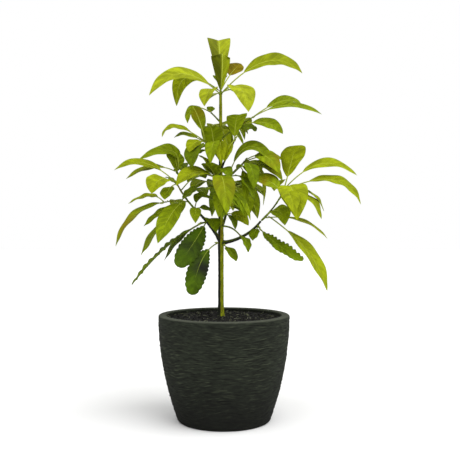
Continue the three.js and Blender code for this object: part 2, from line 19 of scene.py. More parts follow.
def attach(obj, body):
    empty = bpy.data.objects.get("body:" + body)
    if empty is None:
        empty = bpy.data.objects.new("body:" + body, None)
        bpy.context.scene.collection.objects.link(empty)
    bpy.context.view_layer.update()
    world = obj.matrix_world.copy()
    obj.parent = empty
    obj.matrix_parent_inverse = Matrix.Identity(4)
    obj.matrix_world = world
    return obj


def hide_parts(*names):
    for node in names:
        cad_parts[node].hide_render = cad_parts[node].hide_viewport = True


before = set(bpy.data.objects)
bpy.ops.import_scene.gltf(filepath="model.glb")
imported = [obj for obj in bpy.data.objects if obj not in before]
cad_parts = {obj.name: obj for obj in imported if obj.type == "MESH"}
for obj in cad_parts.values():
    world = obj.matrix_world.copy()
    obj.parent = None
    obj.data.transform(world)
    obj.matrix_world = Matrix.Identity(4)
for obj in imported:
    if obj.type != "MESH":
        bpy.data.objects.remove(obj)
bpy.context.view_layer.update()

LOG = logging.getLogger("tree")
MM = 0.001
TURN = 2.0 * math.pi
ROUGH_TURN = 6.28  # a turn as the random draws take it
GOLDEN_TURN = 2.399963
VEIN_PAIRS, VEIN_SWEEP = 9.0, 0.16  # how many a leaf has, and how far they lean towards its tip
SOFT = 3.0  # a crease that leaves no edge sharp
Colour = tuple[float, float, float]
Rule = Callable[[np.ndarray, np.ndarray], np.ndarray]


def mix(low: float, high: float, share: np.ndarray | float) -> np.ndarray | float:
    """What lies `share` of the way from low to high, for numbers or arrays."""
    return low + (high - low) * share


def ease(low: float, high: float, x: np.ndarray) -> np.ndarray:
    """A soft step from 0 at low to 1 at high, for numbers or arrays."""
    t = np.clip((x - low) / (high - low), 0.0, 1.0)
    return t * t * (3.0 - 2.0 * t)


def paint(code: str, strength: float = 1.0) -> Colour:
    """The linear colour of a six-figure paint code such as 'a1ab1f', times a strength."""
    parts = [int(code[i:i + 2], 16) / 255 for i in (0, 2, 4)]
    return tuple((c / 12.92 if c < 0.04045 else ((c + 0.055) / 1.055) ** 2.4) * strength
                 for c in parts)


def about_axis(radius: np.ndarray, turn: np.ndarray, height: np.ndarray) -> np.ndarray:
    """Points about the pot's axis from their radii, their shares of a turn and their heights."""
    angle = turn * TURN
    return np.stack([radius * np.cos(angle), radius * np.sin(angle), height], axis=1)


class Stream:
    """Repeatable numbers, the same stream that the solids were grown with."""

    def __init__(self, seed: int) -> None:
        """Args: seed: where the stream starts."""
        self.state = seed & 0xFFFFFFFF

    def next(self, low: float = 0.0, high: float = 1.0) -> float:
        """The next number between low and high."""
        self.state = (self.state * 1664525 + 1013904223) & 0xFFFFFFFF
        return mix(low, high, self.state / 4294967296)


# ---- finishes ------------------------------------------------------------------------------
def maths(operation: str, reflected: bool = False) -> Callable[..., "Value"]:
    """The method of a Value that adds one Math node.

    Args:
        operation: the node's operation.
        reflected: whether the other term comes first.

    Returns:
        The method.
    """
    def method(self: "Value", *other: "Value | float") -> "Value":
        """The number that the Math node gives."""
        terms = (*other, self) if reflected else (self, *other)
        return self.tree.value("ShaderNodeMath", {"operation": operation}, dict(enumerate(terms)))

    return method


class Value:
    """A number in a node tree; sums written on it add the Math nodes they need."""

    __add__, __radd__ = maths("ADD"), maths("ADD", True)
    __sub__, __rsub__ = maths("SUBTRACT"), maths("SUBTRACT", True)
    __mul__, __rmul__ = maths("MULTIPLY"), maths("MULTIPLY", True)
    __pow__, __abs__, part = maths("POWER"), maths("ABSOLUTE"), maths("FRACT")

    def __init__(self, tree: "Tree", socket: bpy.types.NodeSocket) -> None:
        """Args: tree: the tree it is in. socket: the output that carries it."""
        self.tree = tree
        self.socket = socket

    def step(self, low: float, high: float) -> "Value":
        """A soft step from 0 at low to 1 at high."""
        return self.tree.value("ShaderNodeMapRange", {"interpolation_type": "SMOOTHSTEP"},
                               {"Value": self, "From Min": low, "From Max": high})


class Tree:
    """A node tree, with the one method that adds nodes to it."""

    def __init__(self, owner: bpy.types.Material | bpy.types.World) -> None:
        """Args: owner: the material or world whose nodes these are."""
        owner.use_nodes = True
        self.nodes = owner.node_tree.nodes
        self.links = owner.node_tree.links
        self.nodes.clear()

    def node(self, kind: str, settings: dict | None = None,
             inputs: dict | None = None) -> bpy.types.Node:
        """Adds a node.

        Args:
            kind: Blender's name for the node's type.
            settings: its own settings, and under 'stops' a ramp's (place, colour) pairs.
            inputs: what each input holds or is linked from, by its name or number.

        Returns:
            The new node.
        """
        node = self.nodes.new(kind)
        for name, setting in (settings or {}).items():
            if name == "stops":
                while len(node.color_ramp.elements) < len(setting):
                    node.color_ramp.elements.new(0.5)
                for stop, (place, colour) in zip(node.color_ramp.elements, setting):
                    stop.position, stop.color = place, (*colour, 1.0)
            else:
                setattr(node, name, setting)
        for name, given in (inputs or {}).items():
            if isinstance(given, Value):
                given = given.socket
            if isinstance(given, bpy.types.NodeSocket):
                self.links.new(given, node.inputs[name])
            elif isinstance(given, tuple) and node.inputs[name].type == "RGBA":
                node.inputs[name].default_value = (*given, 1.0)
            else:
                node.inputs[name].default_value = given
        return node

    def value(self, kind: str, settings: dict | None = None, inputs: dict | None = None,
              output: int | str = 0) -> Value:
        """A node as in `node`, and the number that comes out of the output named."""
        return Value(self, self.node(kind, settings, inputs).outputs[output])

    def blend(self, share: Value | float, low: "str | Colour | bpy.types.NodeSocket",
              high: "str | Colour") -> bpy.types.NodeSocket:
        """The colour that lies `share` of the way from low to high, which may be paint codes."""
        low, high = (paint(end) if isinstance(end, str) else end for end in (low, high))
        return self.node("ShaderNodeMix", {"data_type": "RGBA"},
                         {0: share, 6: low, 7: high}).outputs[2]

    def place(self, upwards: float = 1.0) -> bpy.types.NodeSocket:
        """Object coordinates in metres, with the height times a factor."""
        where = self.node("ShaderNodeTexCoord").outputs["Object"]
        return self.node("ShaderNodeMapping", None, {
            "Vector": where, "Scale": (1.0, 1.0, upwards)}).outputs[0]

    def cloud(self, where: bpy.types.NodeSocket, scale: float, detail: float = 3.0,
              rough: float = 0.55) -> Value:
        """Soft noise from 0 to 1."""
        return self.value("ShaderNodeTexNoise", None, {
            "Vector": where, "Scale": scale, "Detail": detail, "Roughness": rough})

    def attribute(self, name: str) -> Value:
        """A number that the mesh keeps at each point."""
        return self.value("ShaderNodeAttribute", {"attribute_name": name}, None, "Fac")

    def along(self) -> tuple[Value, Value]:
        """How far along and how far round its own shape a point is, each from 0 to 1."""
        where = self.node("ShaderNodeUVMap", {"uv_map": Skin.MAP}).outputs[0]
        split = self.node("ShaderNodeSeparateXYZ", None, {0: where})
        return Value(self, split.outputs[0]), Value(self, split.outputs[1])

    def surface(self, height: Value | None, depth: float, **inputs: object) -> None:
        """Ends the tree in one Principled surface.

        Args:
            height: the relief that a Bump node reads, or None.
            depth: how deep that relief is, in metres.
            inputs: Principled inputs, with _ for a space in their names.
        """
        held = {name.replace("_", " "): given for name, given in inputs.items()}
        if height is not None:
            held["Normal"] = self.node("ShaderNodeBump", None, {
                "Height": height, "Distance": depth}).outputs[0]
        shader = self.node("ShaderNodeBsdfPrincipled", None, held)
        self.node("ShaderNodeOutputMaterial", None, {0: shader.outputs[0]})


@dataclass(frozen=True)
class Finish:
    """What every finish has: a plain name and a way to become a material."""

    name: str

    def material(self) -> bpy.types.Material:
        """The material, made once."""
        made = bpy.data.materials.get(self.name)
        if made is None:
            made = bpy.data.materials.new(self.name)
            self.dress(Tree(made))
        return made

    def dress(self, tree: Tree) -> None:
        """Adds the finish's nodes to the tree."""
        raise NotImplementedError


@dataclass(frozen=True)
class LeafFinish(Finish):
    """Leaf skin: a base green, paler veins, a tinge where the leaf is marked with one."""

    base: str
    vein: str
    tinge: str = "7a6c08"
    gloss: float = 0.56
    bright: float = 0.42

    def dress(self, tree: Tree) -> None:
        """Adds the leaf's nodes to the tree."""
        along, turn = tree.along()
        across = abs(1.0 - 2.0 * (turn * 2.0).part())
        shade = tree.attribute(Skin.SHADE)
        where = tree.place()
        mottle = tree.cloud(where, 90.0, 4.0)
        drift = tree.cloud(where, 14.0, 2.0)
        phase = (along - across * VEIN_SWEEP) * VEIN_PAIRS
        slant = tree.node("ShaderNodeCombineXYZ", None, {
            0: phase * 0.8, 1: across * 0.7, 2: shade * 90.0}).outputs[0]
        streak = tree.cloud(slant, 1.3, 3.0)
        vein = abs(phase.part() - 0.5).step(0.38, 0.5) * (1.0 - across) ** 0.4
        colour = tree.blend(streak.step(0.36, 0.64), paint(self.base, 0.7),
                            paint(self.base, 1.16))
        colour = tree.blend(mottle.step(0.42, 0.72) * 0.4, colour, paint(self.base, 0.6))
        colour = tree.blend(vein * self.bright, colour, self.vein)
        colour = tree.blend(tree.attribute(Skin.TINGE) * drift.step(0.3, 0.6), colour, self.tinge)
        # the shade attribute scales the colour: a random lightness per leaf and painted shade on its
        # left half
        colour = tree.node("ShaderNodeVectorMath", {"operation": "SCALE"},
                           {0: colour, "Scale": shade}).outputs[0]
        tree.surface(vein * 0.6 + mottle * 0.4, 0.0004, Base_Color=colour,
                     Roughness=self.gloss + 0.14 * mottle, Specular_IOR_Level=0.06)


@dataclass(frozen=True)
class RibFinish(Finish):
    """The stalks and midribs: a plain tint that darkens towards the twig."""

    base: str
    root: str

    def dress(self, tree: Tree) -> None:
        """Adds the rib's nodes to the tree."""
        along, _ = tree.along()
        mottle = tree.cloud(tree.place(), 160.0, 3.0)
        colour = tree.blend(along.step(0.0, 0.3), self.root, self.base)
        colour = tree.blend(mottle * 0.3, colour, self.root)
        tree.surface(mottle, 0.0002, Base_Color=colour, Roughness=0.45 + 0.1 * mottle,
                     Specular_IOR_Level=0.4)


@dataclass(frozen=True)
class BarkFinish(Finish):
    """Green young bark: streaks along the limb, corky flecks, brown patches, a side painted dark as
    shade.
    """

    base: str
    streak: str
    patch: str
    fleck: str
    # the colour of painted shade on a limb's shaded side
    painted_shade: str = "20241a"

    def dress(self, tree: Tree) -> None:
        """Adds the bark's nodes to the tree."""
        streaks = tree.cloud(tree.place(0.16), 420.0, 4.0)
        patches = tree.cloud(tree.place(0.5), 38.0, 3.0)
        flecks = tree.cloud(tree.place(0.6), 260.0, 1.0)
        colour = tree.blend(streaks.step(0.38, 0.66), self.base, self.streak)
        colour = tree.blend(patches.step(0.54, 0.68), colour, self.patch)
        colour = tree.blend(flecks.step(0.66, 0.74), colour, self.fleck)
        # painted shade: the shaded side held in the tinge attribute, with a little streak and patch,
        # goes to the dark colour
        shade_share = (tree.attribute(Skin.TINGE) + streaks * 0.5 + patches * 0.3).step(0.75, 1.05)
        colour = tree.blend(shade_share, colour, self.painted_shade)
        tree.surface(streaks * 0.6 + flecks * 0.4, 0.0005, Base_Color=colour,
                     Roughness=0.62 + 0.2 * streaks, Specular_IOR_Level=0.12)


@dataclass(frozen=True)
class PotFinish(Finish):
    """Dark stone mix: painted highlight on ridge tops, painted shade in hollows and at the foot, a
    paler rim top.
    """

    base: str = "2f342a"
    deep: str = "151613"
    ridge_highlight_and_speck: str = "414637"
    rim: str = "53564b"
    # the colour of painted shade towards the foot
    foot: str = "121211"

    def dress(self, tree: Tree) -> None:
        """Adds the pot's nodes to the tree."""
        ridges = tree.cloud(tree.place(7.0), 60.0, 6.0, 0.65)
        grain = tree.cloud(tree.place(), 900.0, 3.0)
        clouds = tree.cloud(tree.place(1.6), 12.0, 3.0)
        height = tree.value("ShaderNodeSeparateXYZ", None, {0: tree.place()}, 2)
        relief = tree.attribute(Skin.TINGE)
        # painted shade: the low places of the ridges and the relief are painted towards the
        # near-black colour
        colour = tree.blend(ridges.step(0.4, 0.6) * 0.5 + relief * 0.5, self.deep, self.base)
        # painted highlight: the tops of the ridges are painted paler, as where they catch the light;
        # grain adds pale specks
        colour = tree.blend(relief.step(0.7, 1.0) * 0.6 + grain.step(0.62, 0.76) * 0.2, colour,
                            self.ridge_highlight_and_speck)
        colour = tree.blend(clouds.step(0.35, 0.7) * 0.3, colour, self.deep)
        # painted shade: the wall is painted darker towards the foot
        low = 1.0 - (height + clouds * 0.04).step(0.02, 0.17)
        colour = tree.blend(low * 0.8, colour, self.foot)
        # paler towards the top of the rim
        colour = tree.blend(tree.attribute(Skin.SHADE) * (0.4 + 0.6 * grain), colour, self.rim)
        tree.surface(ridges * 0.7 + grain * 0.3, 0.0007, Base_Color=colour,
                     Roughness=0.78 + 0.2 * grain, Specular_IOR_Level=0.1)


@dataclass(frozen=True)
class SoilFinish(Finish):
    """Damp dark potting soil, or the bits that lie on it."""

    base: str
    crumb: str
    rough: float = 0.88

    def dress(self, tree: Tree) -> None:
        """Adds the soil's nodes to the tree."""
        crumbs = tree.cloud(tree.place(), 420.0, 5.0, 0.65)
        colour = tree.blend(crumbs.step(0.42, 0.7), self.base, self.crumb)
        tree.surface(crumbs, 0.0015, Base_Color=colour, Roughness=self.rough + 0.1 * crumbs,
                     Specular_IOR_Level=0.25)


@dataclass(frozen=True)
class FloorFinish(Finish):
    """The pale floor of the studio."""

    grey: float = 0.92

    def dress(self, tree: Tree) -> None:
        """Adds the floor's nodes to the tree."""
        cloud = tree.cloud(tree.place(), 3.0, 2.0)
        colour = tree.blend(cloud, (self.grey,) * 3, (self.grey * 0.99,) * 3)
        tree.surface(None, 0.0, Base_Color=colour, Roughness=0.9, Specular_IOR_Level=0.1)


class Tone(Enum):
    """The greens that leaves are dealt, from the newest to the oldest."""

    YOUNG = LeafFinish("leaf_young", "9ca61a", "b3bc36")
    FRESH = LeafFinish("leaf_fresh", "8f9b0c", "a5b01c")
    GREEN = LeafFinish("leaf_green", "80920a", "97a412")
    DEEP = LeafFinish("leaf_deep", "697d05", "80930f")
    DUSKY = LeafFinish("leaf_dusky", "486207", "667c0e", "24271c", gloss=0.5, bright=0.25)
    TINGED = LeafFinish("leaf_tinged", "827308", "988b1e")


class Outline(Enum):
    """How a leaf's half width swells and falls: powers of the way along and of what is left."""

    PLAIN = (0.85, 0.95)
    BLUNT = (0.8, 0.4)
    TOOTHED = (0.75, 0.45)

    def half(self, way: np.ndarray) -> np.ndarray:
        """The half width at each place along the blade, as a share of the widest."""
        up, down = self.value
        peak = up / (up + down)
        left = np.clip(1.0 - way, 0.0, 1.0)
        return way ** up * left ** down / (peak ** up * (1.0 - peak) ** down)


# ---- lines and skins -----------------------------------------------------------------------
@dataclass(frozen=True, eq=False)
class Arc:
    """The line of a limb or a leaf: one bend in an upright plane, from a root to a tip."""

    root: np.ndarray
    bend: np.ndarray
    tip: np.ndarray
    heading: float

    @classmethod
    def grow(cls, root: np.ndarray, heading: float, reach: float, climb: float, rise: float,
             lift: float) -> "Arc":
        """An arc that sets off at `rise` degrees and ends `reach` out and `climb` up.

        Args:
            root: where it starts.
            heading: its direction in plan, in degrees.
            reach: how far out it ends.
            climb: how far up it ends.
            rise: how steeply it sets off, in degrees.
            lift: how far along its first direction the bend is, as a share of its span.

        Returns:
            The arc.
        """
        pull = math.hypot(reach, climb) * lift
        east, north = math.cos(math.radians(heading)), math.sin(math.radians(heading))
        out, up = pull * math.cos(math.radians(rise)), pull * math.sin(math.radians(rise))
        return cls(root, root + np.array((out * east, out * north, up)),
                   root + np.array((reach * east, reach * north, climb)), heading)

    def point(self, way: np.ndarray | float) -> np.ndarray:
        """The points at these shares of the way along."""
        t = np.asarray(way, float)[..., None]
        k = 1.0 - t
        return self.root * k * k + self.bend * 2.0 * k * t + self.tip * t * t

    def direction(self, way: np.ndarray | float) -> np.ndarray:
        """The unit directions at these shares of the way along."""
        t = np.asarray(way, float)[..., None]
        course = (self.bend - self.root) * (1.0 - t) + (self.tip - self.bend) * t
        return course / np.linalg.norm(course, axis=-1, keepdims=True)

    def line(self, way: np.ndarray) -> tuple[np.ndarray, np.ndarray]:
        """The points and the directions at these shares of the way along."""
        return self.point(way), self.direction(way)

    def frame(self, way: np.ndarray | float, roll: float) -> tuple[np.ndarray, np.ndarray]:
        """Across a leaf on this line: the direction to its side and the one it faces.

        Args:
            way: shares of the way along.
            roll: how far the leaf turns about its midrib, in degrees.

        Returns:
            The side and the face directions at each place.
        """
        head, lean = math.radians(self.heading), math.radians(roll)
        flat = np.array((-math.sin(head), math.cos(head), 0.0))
        up = np.cross(self.direction(way), flat)
        side = flat * math.cos(lean) + up * math.sin(lean)
        return side, up * math.cos(lean) - flat * math.sin(lean)


class Skin:
    """A mesh that gathers many closed shapes, each a grid wrapped into place, as one piece."""

    MAP = "Along"
    SHADE = "shade"
    TINGE = "tinge"

    def __init__(self, crease: float = 1.1) -> None:
        """Args: crease: edges that turn by more than this, in radians, are left sharp."""
        self.mesh = bmesh.new()
        self.mesh.loops.layers.uv.new(self.MAP)
        self.shade = self.mesh.verts.layers.float.new(self.SHADE)
        self.tinge = self.mesh.verts.layers.float.new(self.TINGE)
        self.crease = crease

    def wrap(self, rows: int, around: int, place: Rule, shade: float | Rule = 0.0,
             tinge: float | Rule = 0.0) -> None:
        """Wraps a grid into one closed shape whose ends and seam meet.

        Args:
            rows: steps along the shape.
            around: steps round it.
            place: gives the points, in millimetres, for shares along and round.
            shade: a number kept at every point, or a rule for it like `place`.
            tinge: another.
        """
        made = bmesh.ops.create_grid(self.mesh, x_segments=rows, y_segments=around, size=0.5,
                                     calc_uvs=True)["verts"]
        flat = np.array([v.co for v in made])
        along = np.round((flat[:, 0] + 0.5) * rows) / rows
        turn = np.round((flat[:, 1] + 0.5) * around) / around
        points = place(along, turn) * MM
        shades, tinges = (np.broadcast_to(kept(along, turn) if callable(kept) else kept,
                                          along.shape) for kept in (shade, tinge))
        for vert, point, dark, warm in zip(made, points, shades, tinges):
            vert.co = point
            vert[self.shade], vert[self.tinge] = dark, warm
        bmesh.ops.remove_doubles(self.mesh, verts=made, dist=2e-6)

    def tube(self, line: Callable[[np.ndarray], tuple[np.ndarray, np.ndarray]], rows: int,
             around: int, radius: Rule, painted_shade: float | Rule = 0.0) -> None:
        """A round limb with domed ends.

        Args:
            line: gives the axis points and directions for shares along.
            rows: steps along it.
            around: steps round it.
            radius: gives the radius for shares along and round.
            painted_shade: how dark its skin is painted as shade on its shaded side, or a rule for it
                like the radius's.
        """
        steps = np.linspace(0.0, 1.0, rows + 1)
        axis, course = line(steps)
        side = np.array((1.0, 0.0, 0.0)) if abs(course[0][2]) > 0.9 else np.array((0.0, 0.0, 1.0))
        sides = []
        for way in course:
            side = side - way * np.dot(side, way)
            side = side / np.linalg.norm(side)
            sides.append(side)
        sides = np.array(sides)
        ups = np.cross(course, sides)

        def place(along: np.ndarray, turn: np.ndarray) -> np.ndarray:
            """The points of the limb's skin."""
            k = np.rint(along * rows).astype(int)
            size = radius(along, turn) * np.where((k == 0) | (k == rows), 0.0, 1.0)
            angle = turn * TURN
            return (axis[k] + sides[k] * (size * np.cos(angle))[:, None]
                    + ups[k] * (size * np.sin(angle))[:, None])

        self.wrap(rows, around, place, tinge=painted_shade)

    def piece(self, name: str, finishes: Sequence[Finish],
              stands_for: Sequence[str] = ()) -> bpy.types.Object:
        """Turns what was gathered into one piece of the object.

        Args:
            name: the piece's name.
            finishes: its finishes, in the order of the faces' numbers.
            stands_for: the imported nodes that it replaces.

        Returns:
            The piece, riding on the root body.
        """
        bmesh.ops.recalc_face_normals(self.mesh, faces=self.mesh.faces)
        for face in self.mesh.faces:
            face.smooth = True
        for edge in self.mesh.edges:
            edge.smooth = edge.calc_face_angle(0.0) < self.crease
        data = bpy.data.meshes.new(name)
        self.mesh.to_mesh(data)
        self.mesh.free()
        for finish in finishes:
            data.materials.append(finish.material())
        made = bpy.data.objects.new(name, data)
        bpy.context.scene.collection.objects.link(made)
        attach(made, "root")
        if stands_for:
            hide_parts(*stands_for)
        LOG.info("%s: %d faces", name, len(data.polygons))
        return made


# ---- pot and soil --------------------------------------------------------------------------
@dataclass
class Pot:
    """The round pot: a swelling wall ridged by hand, a flat rim, a hollow down to its floor."""

    height: float = 240.0
    foot: float = 105.0
    swell: float = 44.5
    wall: float = 19.0
    floor: float = 16.0
    heel: float = 7.0
    lip: float = 4.0
    rows: int = 280
    around: int = 300
    relief: float = 1.2

    def radius(self, height: np.ndarray | float) -> np.ndarray | float:
        """The outside radius at a height."""
        return self.foot + self.swell * (1.0 - (1.0 - height / self.height) ** 2)

    def outline(self) -> tuple[np.ndarray, np.ndarray, np.ndarray]:
        """The wall's section from the middle of the underside to the middle of the floor.

        Returns:
            Radii, heights, and how much of the ridges each place takes.
        """
        quarter = np.linspace(0.0, math.pi / 2, 6)
        low, top = self.radius(self.heel), self.radius(self.height)
        heel_r = low - self.heel + self.heel * np.sin(quarter)
        heel_z = self.heel - self.heel * np.cos(quarter)
        wall_z = np.linspace(self.heel, self.height - self.lip, self.rows)[1:]
        lip_r = top - self.lip + self.lip * np.cos(quarter)[1:]
        lip_z = self.height - self.lip + self.lip * np.sin(quarter)[1:]
        inner = top - self.wall
        back_r = inner + self.lip - self.lip * np.sin(quarter)
        back_z = self.height - self.lip + self.lip * np.cos(quarter)
        down_z = np.linspace(self.height - self.lip, self.floor, 14)[1:]
        radii = [np.array((0.0, low * 0.5)), heel_r, self.radius(wall_z), lip_r,
                 np.linspace(top - self.lip, inner + self.lip, 5)[1:-1], back_r,
                 self.radius(down_z) - self.wall, np.array((0.0,))]
        heights = [np.zeros(2), heel_z, wall_z, lip_z, np.full(3, self.height), back_z, down_z,
                   np.array((self.floor,))]
        r, z = np.concatenate(radii), np.concatenate(heights)
        outside = np.arange(len(r)) < 2 + len(heel_r) + len(wall_z) + len(lip_r)
        taken = outside * ease(0.0, 10.0, z) * (1.0 - 0.75 * ease(self.height - 8, self.height, z))
        return r, z, taken + (~outside) * ease(self.height - 30, self.height, z) * 0.3

    def ridges(self, angle: float, height: float) -> float:
        """The wall's relief at one place, from -1 to 1: long low ridges that wander and fork."""
        x, y = math.cos(angle) * 0.75, math.sin(angle) * 0.75

        def layer(across: float, upwards: float, start: float = 0.0, z: float = height) -> float:
            """Noise stretched across and upwards, from its own starting place."""
            return noise.noise((x * across + start, y * across, z * upwards))

        z = height + layer(1.7, 0.006) * 12.0 + layer(5.0, 0.02, 9.0) * 4.0
        fine = noise.noise((x * 14.0, y * 14.0 + 5, z * 0.66))
        body = layer(4.0, 0.16, z=z) * 0.3 + layer(7.0, 0.36, 3.0, z) * 0.85 + fine * 0.9
        return body * (0.85 + 0.4 * layer(2.2, 0.016, 7.0))

    def build(self) -> bpy.types.Object:
        """Returns: the pot as one closed piece."""
        radii, heights, taken = self.outline()
        rows = len(radii) - 1
        angles = np.linspace(0.0, TURN, self.around + 1)
        relief = np.array([[self.ridges(a, z) for z in heights] for a in angles[:-1]])
        relief = np.vstack([relief, relief[:1]])
        slope = 2 * self.swell / self.height * (1 - heights / self.height)
        out, up = 1 / np.hypot(1, slope), -slope / np.hypot(1, slope)

        def steps(along: np.ndarray, turn: np.ndarray) -> tuple[np.ndarray, np.ndarray]:
            """The row and the column of each point."""
            return np.rint(along * rows).astype(int), np.rint(turn * self.around).astype(int)

        def place(along: np.ndarray, turn: np.ndarray) -> np.ndarray:
            """The points of the pot's skin."""
            k, j = steps(along, turn)
            push = relief[j, k] * taken[k] * self.relief * (heights[k] > 1.0)
            level = np.minimum(heights[k] + push * up[k], self.height + 0.4)
            return about_axis(radii[k] + push * out[k], turn, level)

        def on_rim(along: np.ndarray, turn: np.ndarray) -> np.ndarray:
            """How near each point is to the top of the rim, from 0 to 1."""
            height = heights[steps(along, turn)[0]]
            return ease(self.height - self.lip * 0.8, self.height - 0.4, height)

        def high(along: np.ndarray, turn: np.ndarray) -> np.ndarray:
            """How high each point stands in the ridges, from 0 to 1."""
            k, j = steps(along, turn)
            return np.clip(0.5 + relief[j, k] * 0.8, 0.0, 1.0) * (taken[k] > 0.05)

        skin = Skin(crease=SOFT)
        skin.wrap(rows, self.around, place, on_rim, high)
        return skin.piece("pot_body", [PotFinish("pot_stone")], ["pot"])


@dataclass
class Soil:
    """The bed of dark soil and the bark, fibre and grit that lie loose on it."""

    pot: Pot
    edge: float = 232.0
    crown: float = 236.0
    gap: float = 0.6
    lumps: float = 2.4
    around: int = 150
    rings: int = 52
    crumbs: int = 800
    fibres: int = 120

    def height(self, x: float, y: float) -> float:
        """The top of the soil at a place in plan: a low mound, calm by the trunk and the pot."""
        reach = self.pot.radius(self.edge) - self.pot.wall
        r = math.hypot(x, y)
        mound = min(1.0, max(0.0, 1.0 - r / reach) ** 1.2 * 1.6)
        lump = noise.noise((x * 0.09, y * 0.09, 2.0)) + 0.6 * noise.noise((x * 0.3, y * 0.3, 5.0))
        calm = float(ease(6.0, 22.0, r)) * float(1 - ease(reach - 8, reach, r))
        return self.edge + (self.crown - self.edge) * mound + self.lumps * lump * calm

    def spot(self, r: float, angle: float) -> np.ndarray:
        """The point on top of the soil at a radius and an angle."""
        x, y = r * math.cos(angle), r * math.sin(angle)
        return np.array((x, y, self.height(x, y)))

    def build(self) -> list[bpy.types.Object]:
        """Returns: the bed, then the loose bits."""
        return [self.bed(), self.litter("soil_crumbs", 41, self.crumbs, False),
                self.litter("soil_bark_bits", 17, self.crumbs // 3, True), self.threads()]

    def bed(self) -> bpy.types.Object:
        """Returns: the closed body of soil, its top lumpy."""
        inner = self.pot.radius(self.edge) - self.pot.wall - self.gap
        low = self.pot.radius(self.pot.floor) - self.pot.wall - self.gap
        radii = np.concatenate([np.linspace(0.0, inner, self.rings), (low, 0.0)])
        depth = self.pot.floor + self.gap
        rows = len(radii) - 1

        def place(along: np.ndarray, turn: np.ndarray) -> np.ndarray:
            """The points of the soil's skin."""
            k = np.rint(along * rows).astype(int)
            points = about_axis(radii[k], turn, np.full(len(k), depth))
            for point, ring in zip(points, k):
                if ring < self.rings:
                    point[2] = self.height(point[0], point[1])
            return points

        skin = Skin(crease=SOFT)
        skin.wrap(rows, self.around, place)
        return skin.piece("soil_bed", [SoilFinish("soil_dark", "0a0a08", "191814")],
                          ["soil"])

    def litter(self, name: str, seed: int, count: int, flat: bool) -> bpy.types.Object:
        """Crumbs or flat bark bits scattered on the soil.

        Args:
            name: the piece's name.
            seed: where its scatter starts.
            count: how many bits.
            flat: whether they are bark bits.

        Returns:
            The piece.
        """
        deal = Stream(seed)
        reach = self.pot.radius(self.edge) - self.pot.wall - 5.0
        sizes, heights = ((1.6, 3.6), (0.16, 0.4)) if flat else ((0.7, 2.1), (0.5, 0.9))
        skin = Skin(crease=0.5)
        for _ in range(count):
            spot = self.spot(reach * math.sqrt(deal.next(0.004, 1.0)), deal.next(0.0, TURN))
            size = deal.next(*sizes)
            squash = (deal.next(0.8, 1.5), deal.next(0.5, 0.9), deal.next(*heights))
            made = bmesh.ops.create_icosphere(skin.mesh, subdivisions=1, radius=size * MM)["verts"]
            turn = Matrix.Rotation(deal.next(0, ROUGH_TURN), 4, "Z") @ Matrix.Rotation(
                deal.next(-0.5, 0.5), 4, "X")
            here = Matrix.Translation(Vector(spot + (0.0, 0.0, size * 0.35)) * MM)
            for vert in made:
                vert.co *= deal.next(0.75, 1.2)
            bmesh.ops.transform(skin.mesh, verts=made,
                                matrix=here @ turn @ Matrix.Diagonal((*squash, 1.0)))
        finish = (SoilFinish("bark_bits", "151510", "2a2b1a", 0.75) if flat
                  else SoilFinish("soil_grit", "0c0c0a", "1a1a16"))
        return skin.piece(name, [finish])

    def threads(self) -> bpy.types.Object:
        """Returns: short curled fibres, pale against the soil."""
        deal = Stream(73)
        reach = self.pot.radius(self.edge) - self.pot.wall - 7.0
        skin = Skin()
        for _ in range(self.fibres):
            r, head = reach * math.sqrt(deal.next(0.02, 1.0)), deal.next(0.0, 360.0)
            root = self.spot(r, deal.next(0.0, TURN)) + (0.0, 0.0, 0.2)
            arc = Arc.grow(root, head, deal.next(5.0, 14.0), deal.next(-0.6, 1.8),
                           deal.next(10.0, 70.0), deal.next(0.5, 0.95))
            size = deal.next(0.45, 1.0)
            skin.tube(arc.line, 6, 5, lambda along, turn: size * (1.0 - 0.5 * along))
        return skin.piece("soil_fibres", [SoilFinish("fibre", "4c4f38", "8b8c78", 0.6)])


# ---- the growth rule -----------------------------------------------------------------------
CLEAR_OF_LEAF = 1.5
TURNS = (0, 4, -4, 8, -8, 13, -13, 18, -18)
STEM_ROOT, STEM_TIP = 2.3, 1.5
LIMB_LIFT = 0.55


@dataclass(frozen=True)
class Leaf:
    """One leaf: where on its stem it springs, how it arches, its width, roll, fold and tone.

    `tinge` is how brown it turns at its middle; its last field is painted shade, how much darker its
    left half is painted.
    """

    tone: Tone
    at: float
    heading: float
    reach: float
    climb: float
    rise: float
    lift: float
    width: float
    roll: float = 0.0
    fold: float = 13.0
    shape: Outline = Outline.PLAIN
    stalk: float = 0.22
    tinge: float = 0.0
    shaded_half: float = 0.12


@dataclass(frozen=True)
class Twig:
    """A side twig of a mass, with leaves of its own."""

    at: float
    stem: tuple[float, float, float, float]
    leaves: tuple[Leaf, ...]


@dataclass(frozen=True)
class Mass:
    """A mass of foliage: its node, the limb and place it grows from, its stem and leaves."""

    name: str
    on: str
    at: float
    stem: tuple[float, float, float, float]
    leaves: tuple[Leaf, ...] = ()
    more: tuple[Leaf, ...] = ()
    twig: Twig | None = None


@dataclass(frozen=True)
class Bough:
    """A tapering limb: where it leaves the trunk, its arc, and its girth at both ends."""

    name: str
    height: float
    heading: float
    reach: float
    climb: float
    rise: float
    lift: float
    root: float
    tip: float


BOUGHS = (
    Bough("bough_left", 407, 185, 54, 68, 58, 0.55, 4.6, 2.5),
    Bough("bough_right", 403, -15, 94, 50, 6, 0.55, 4.4, 2.3),
    Bough("bough_fork_left", 548, 168, 100, 12, 28, 0.55, 2.6, 1.6),
    Bough("bough_front_right", 570, -40, 40, 62, 60, 0.55, 2.3, 1.5),
    Bough("bough_back_low", 432, 72, 58, 62, 40, 0.55, 3.6, 2.2),
    Bough("bough_back_high", 596, 118, 44, 40, 48, 0.55, 2.5, 1.7),
)


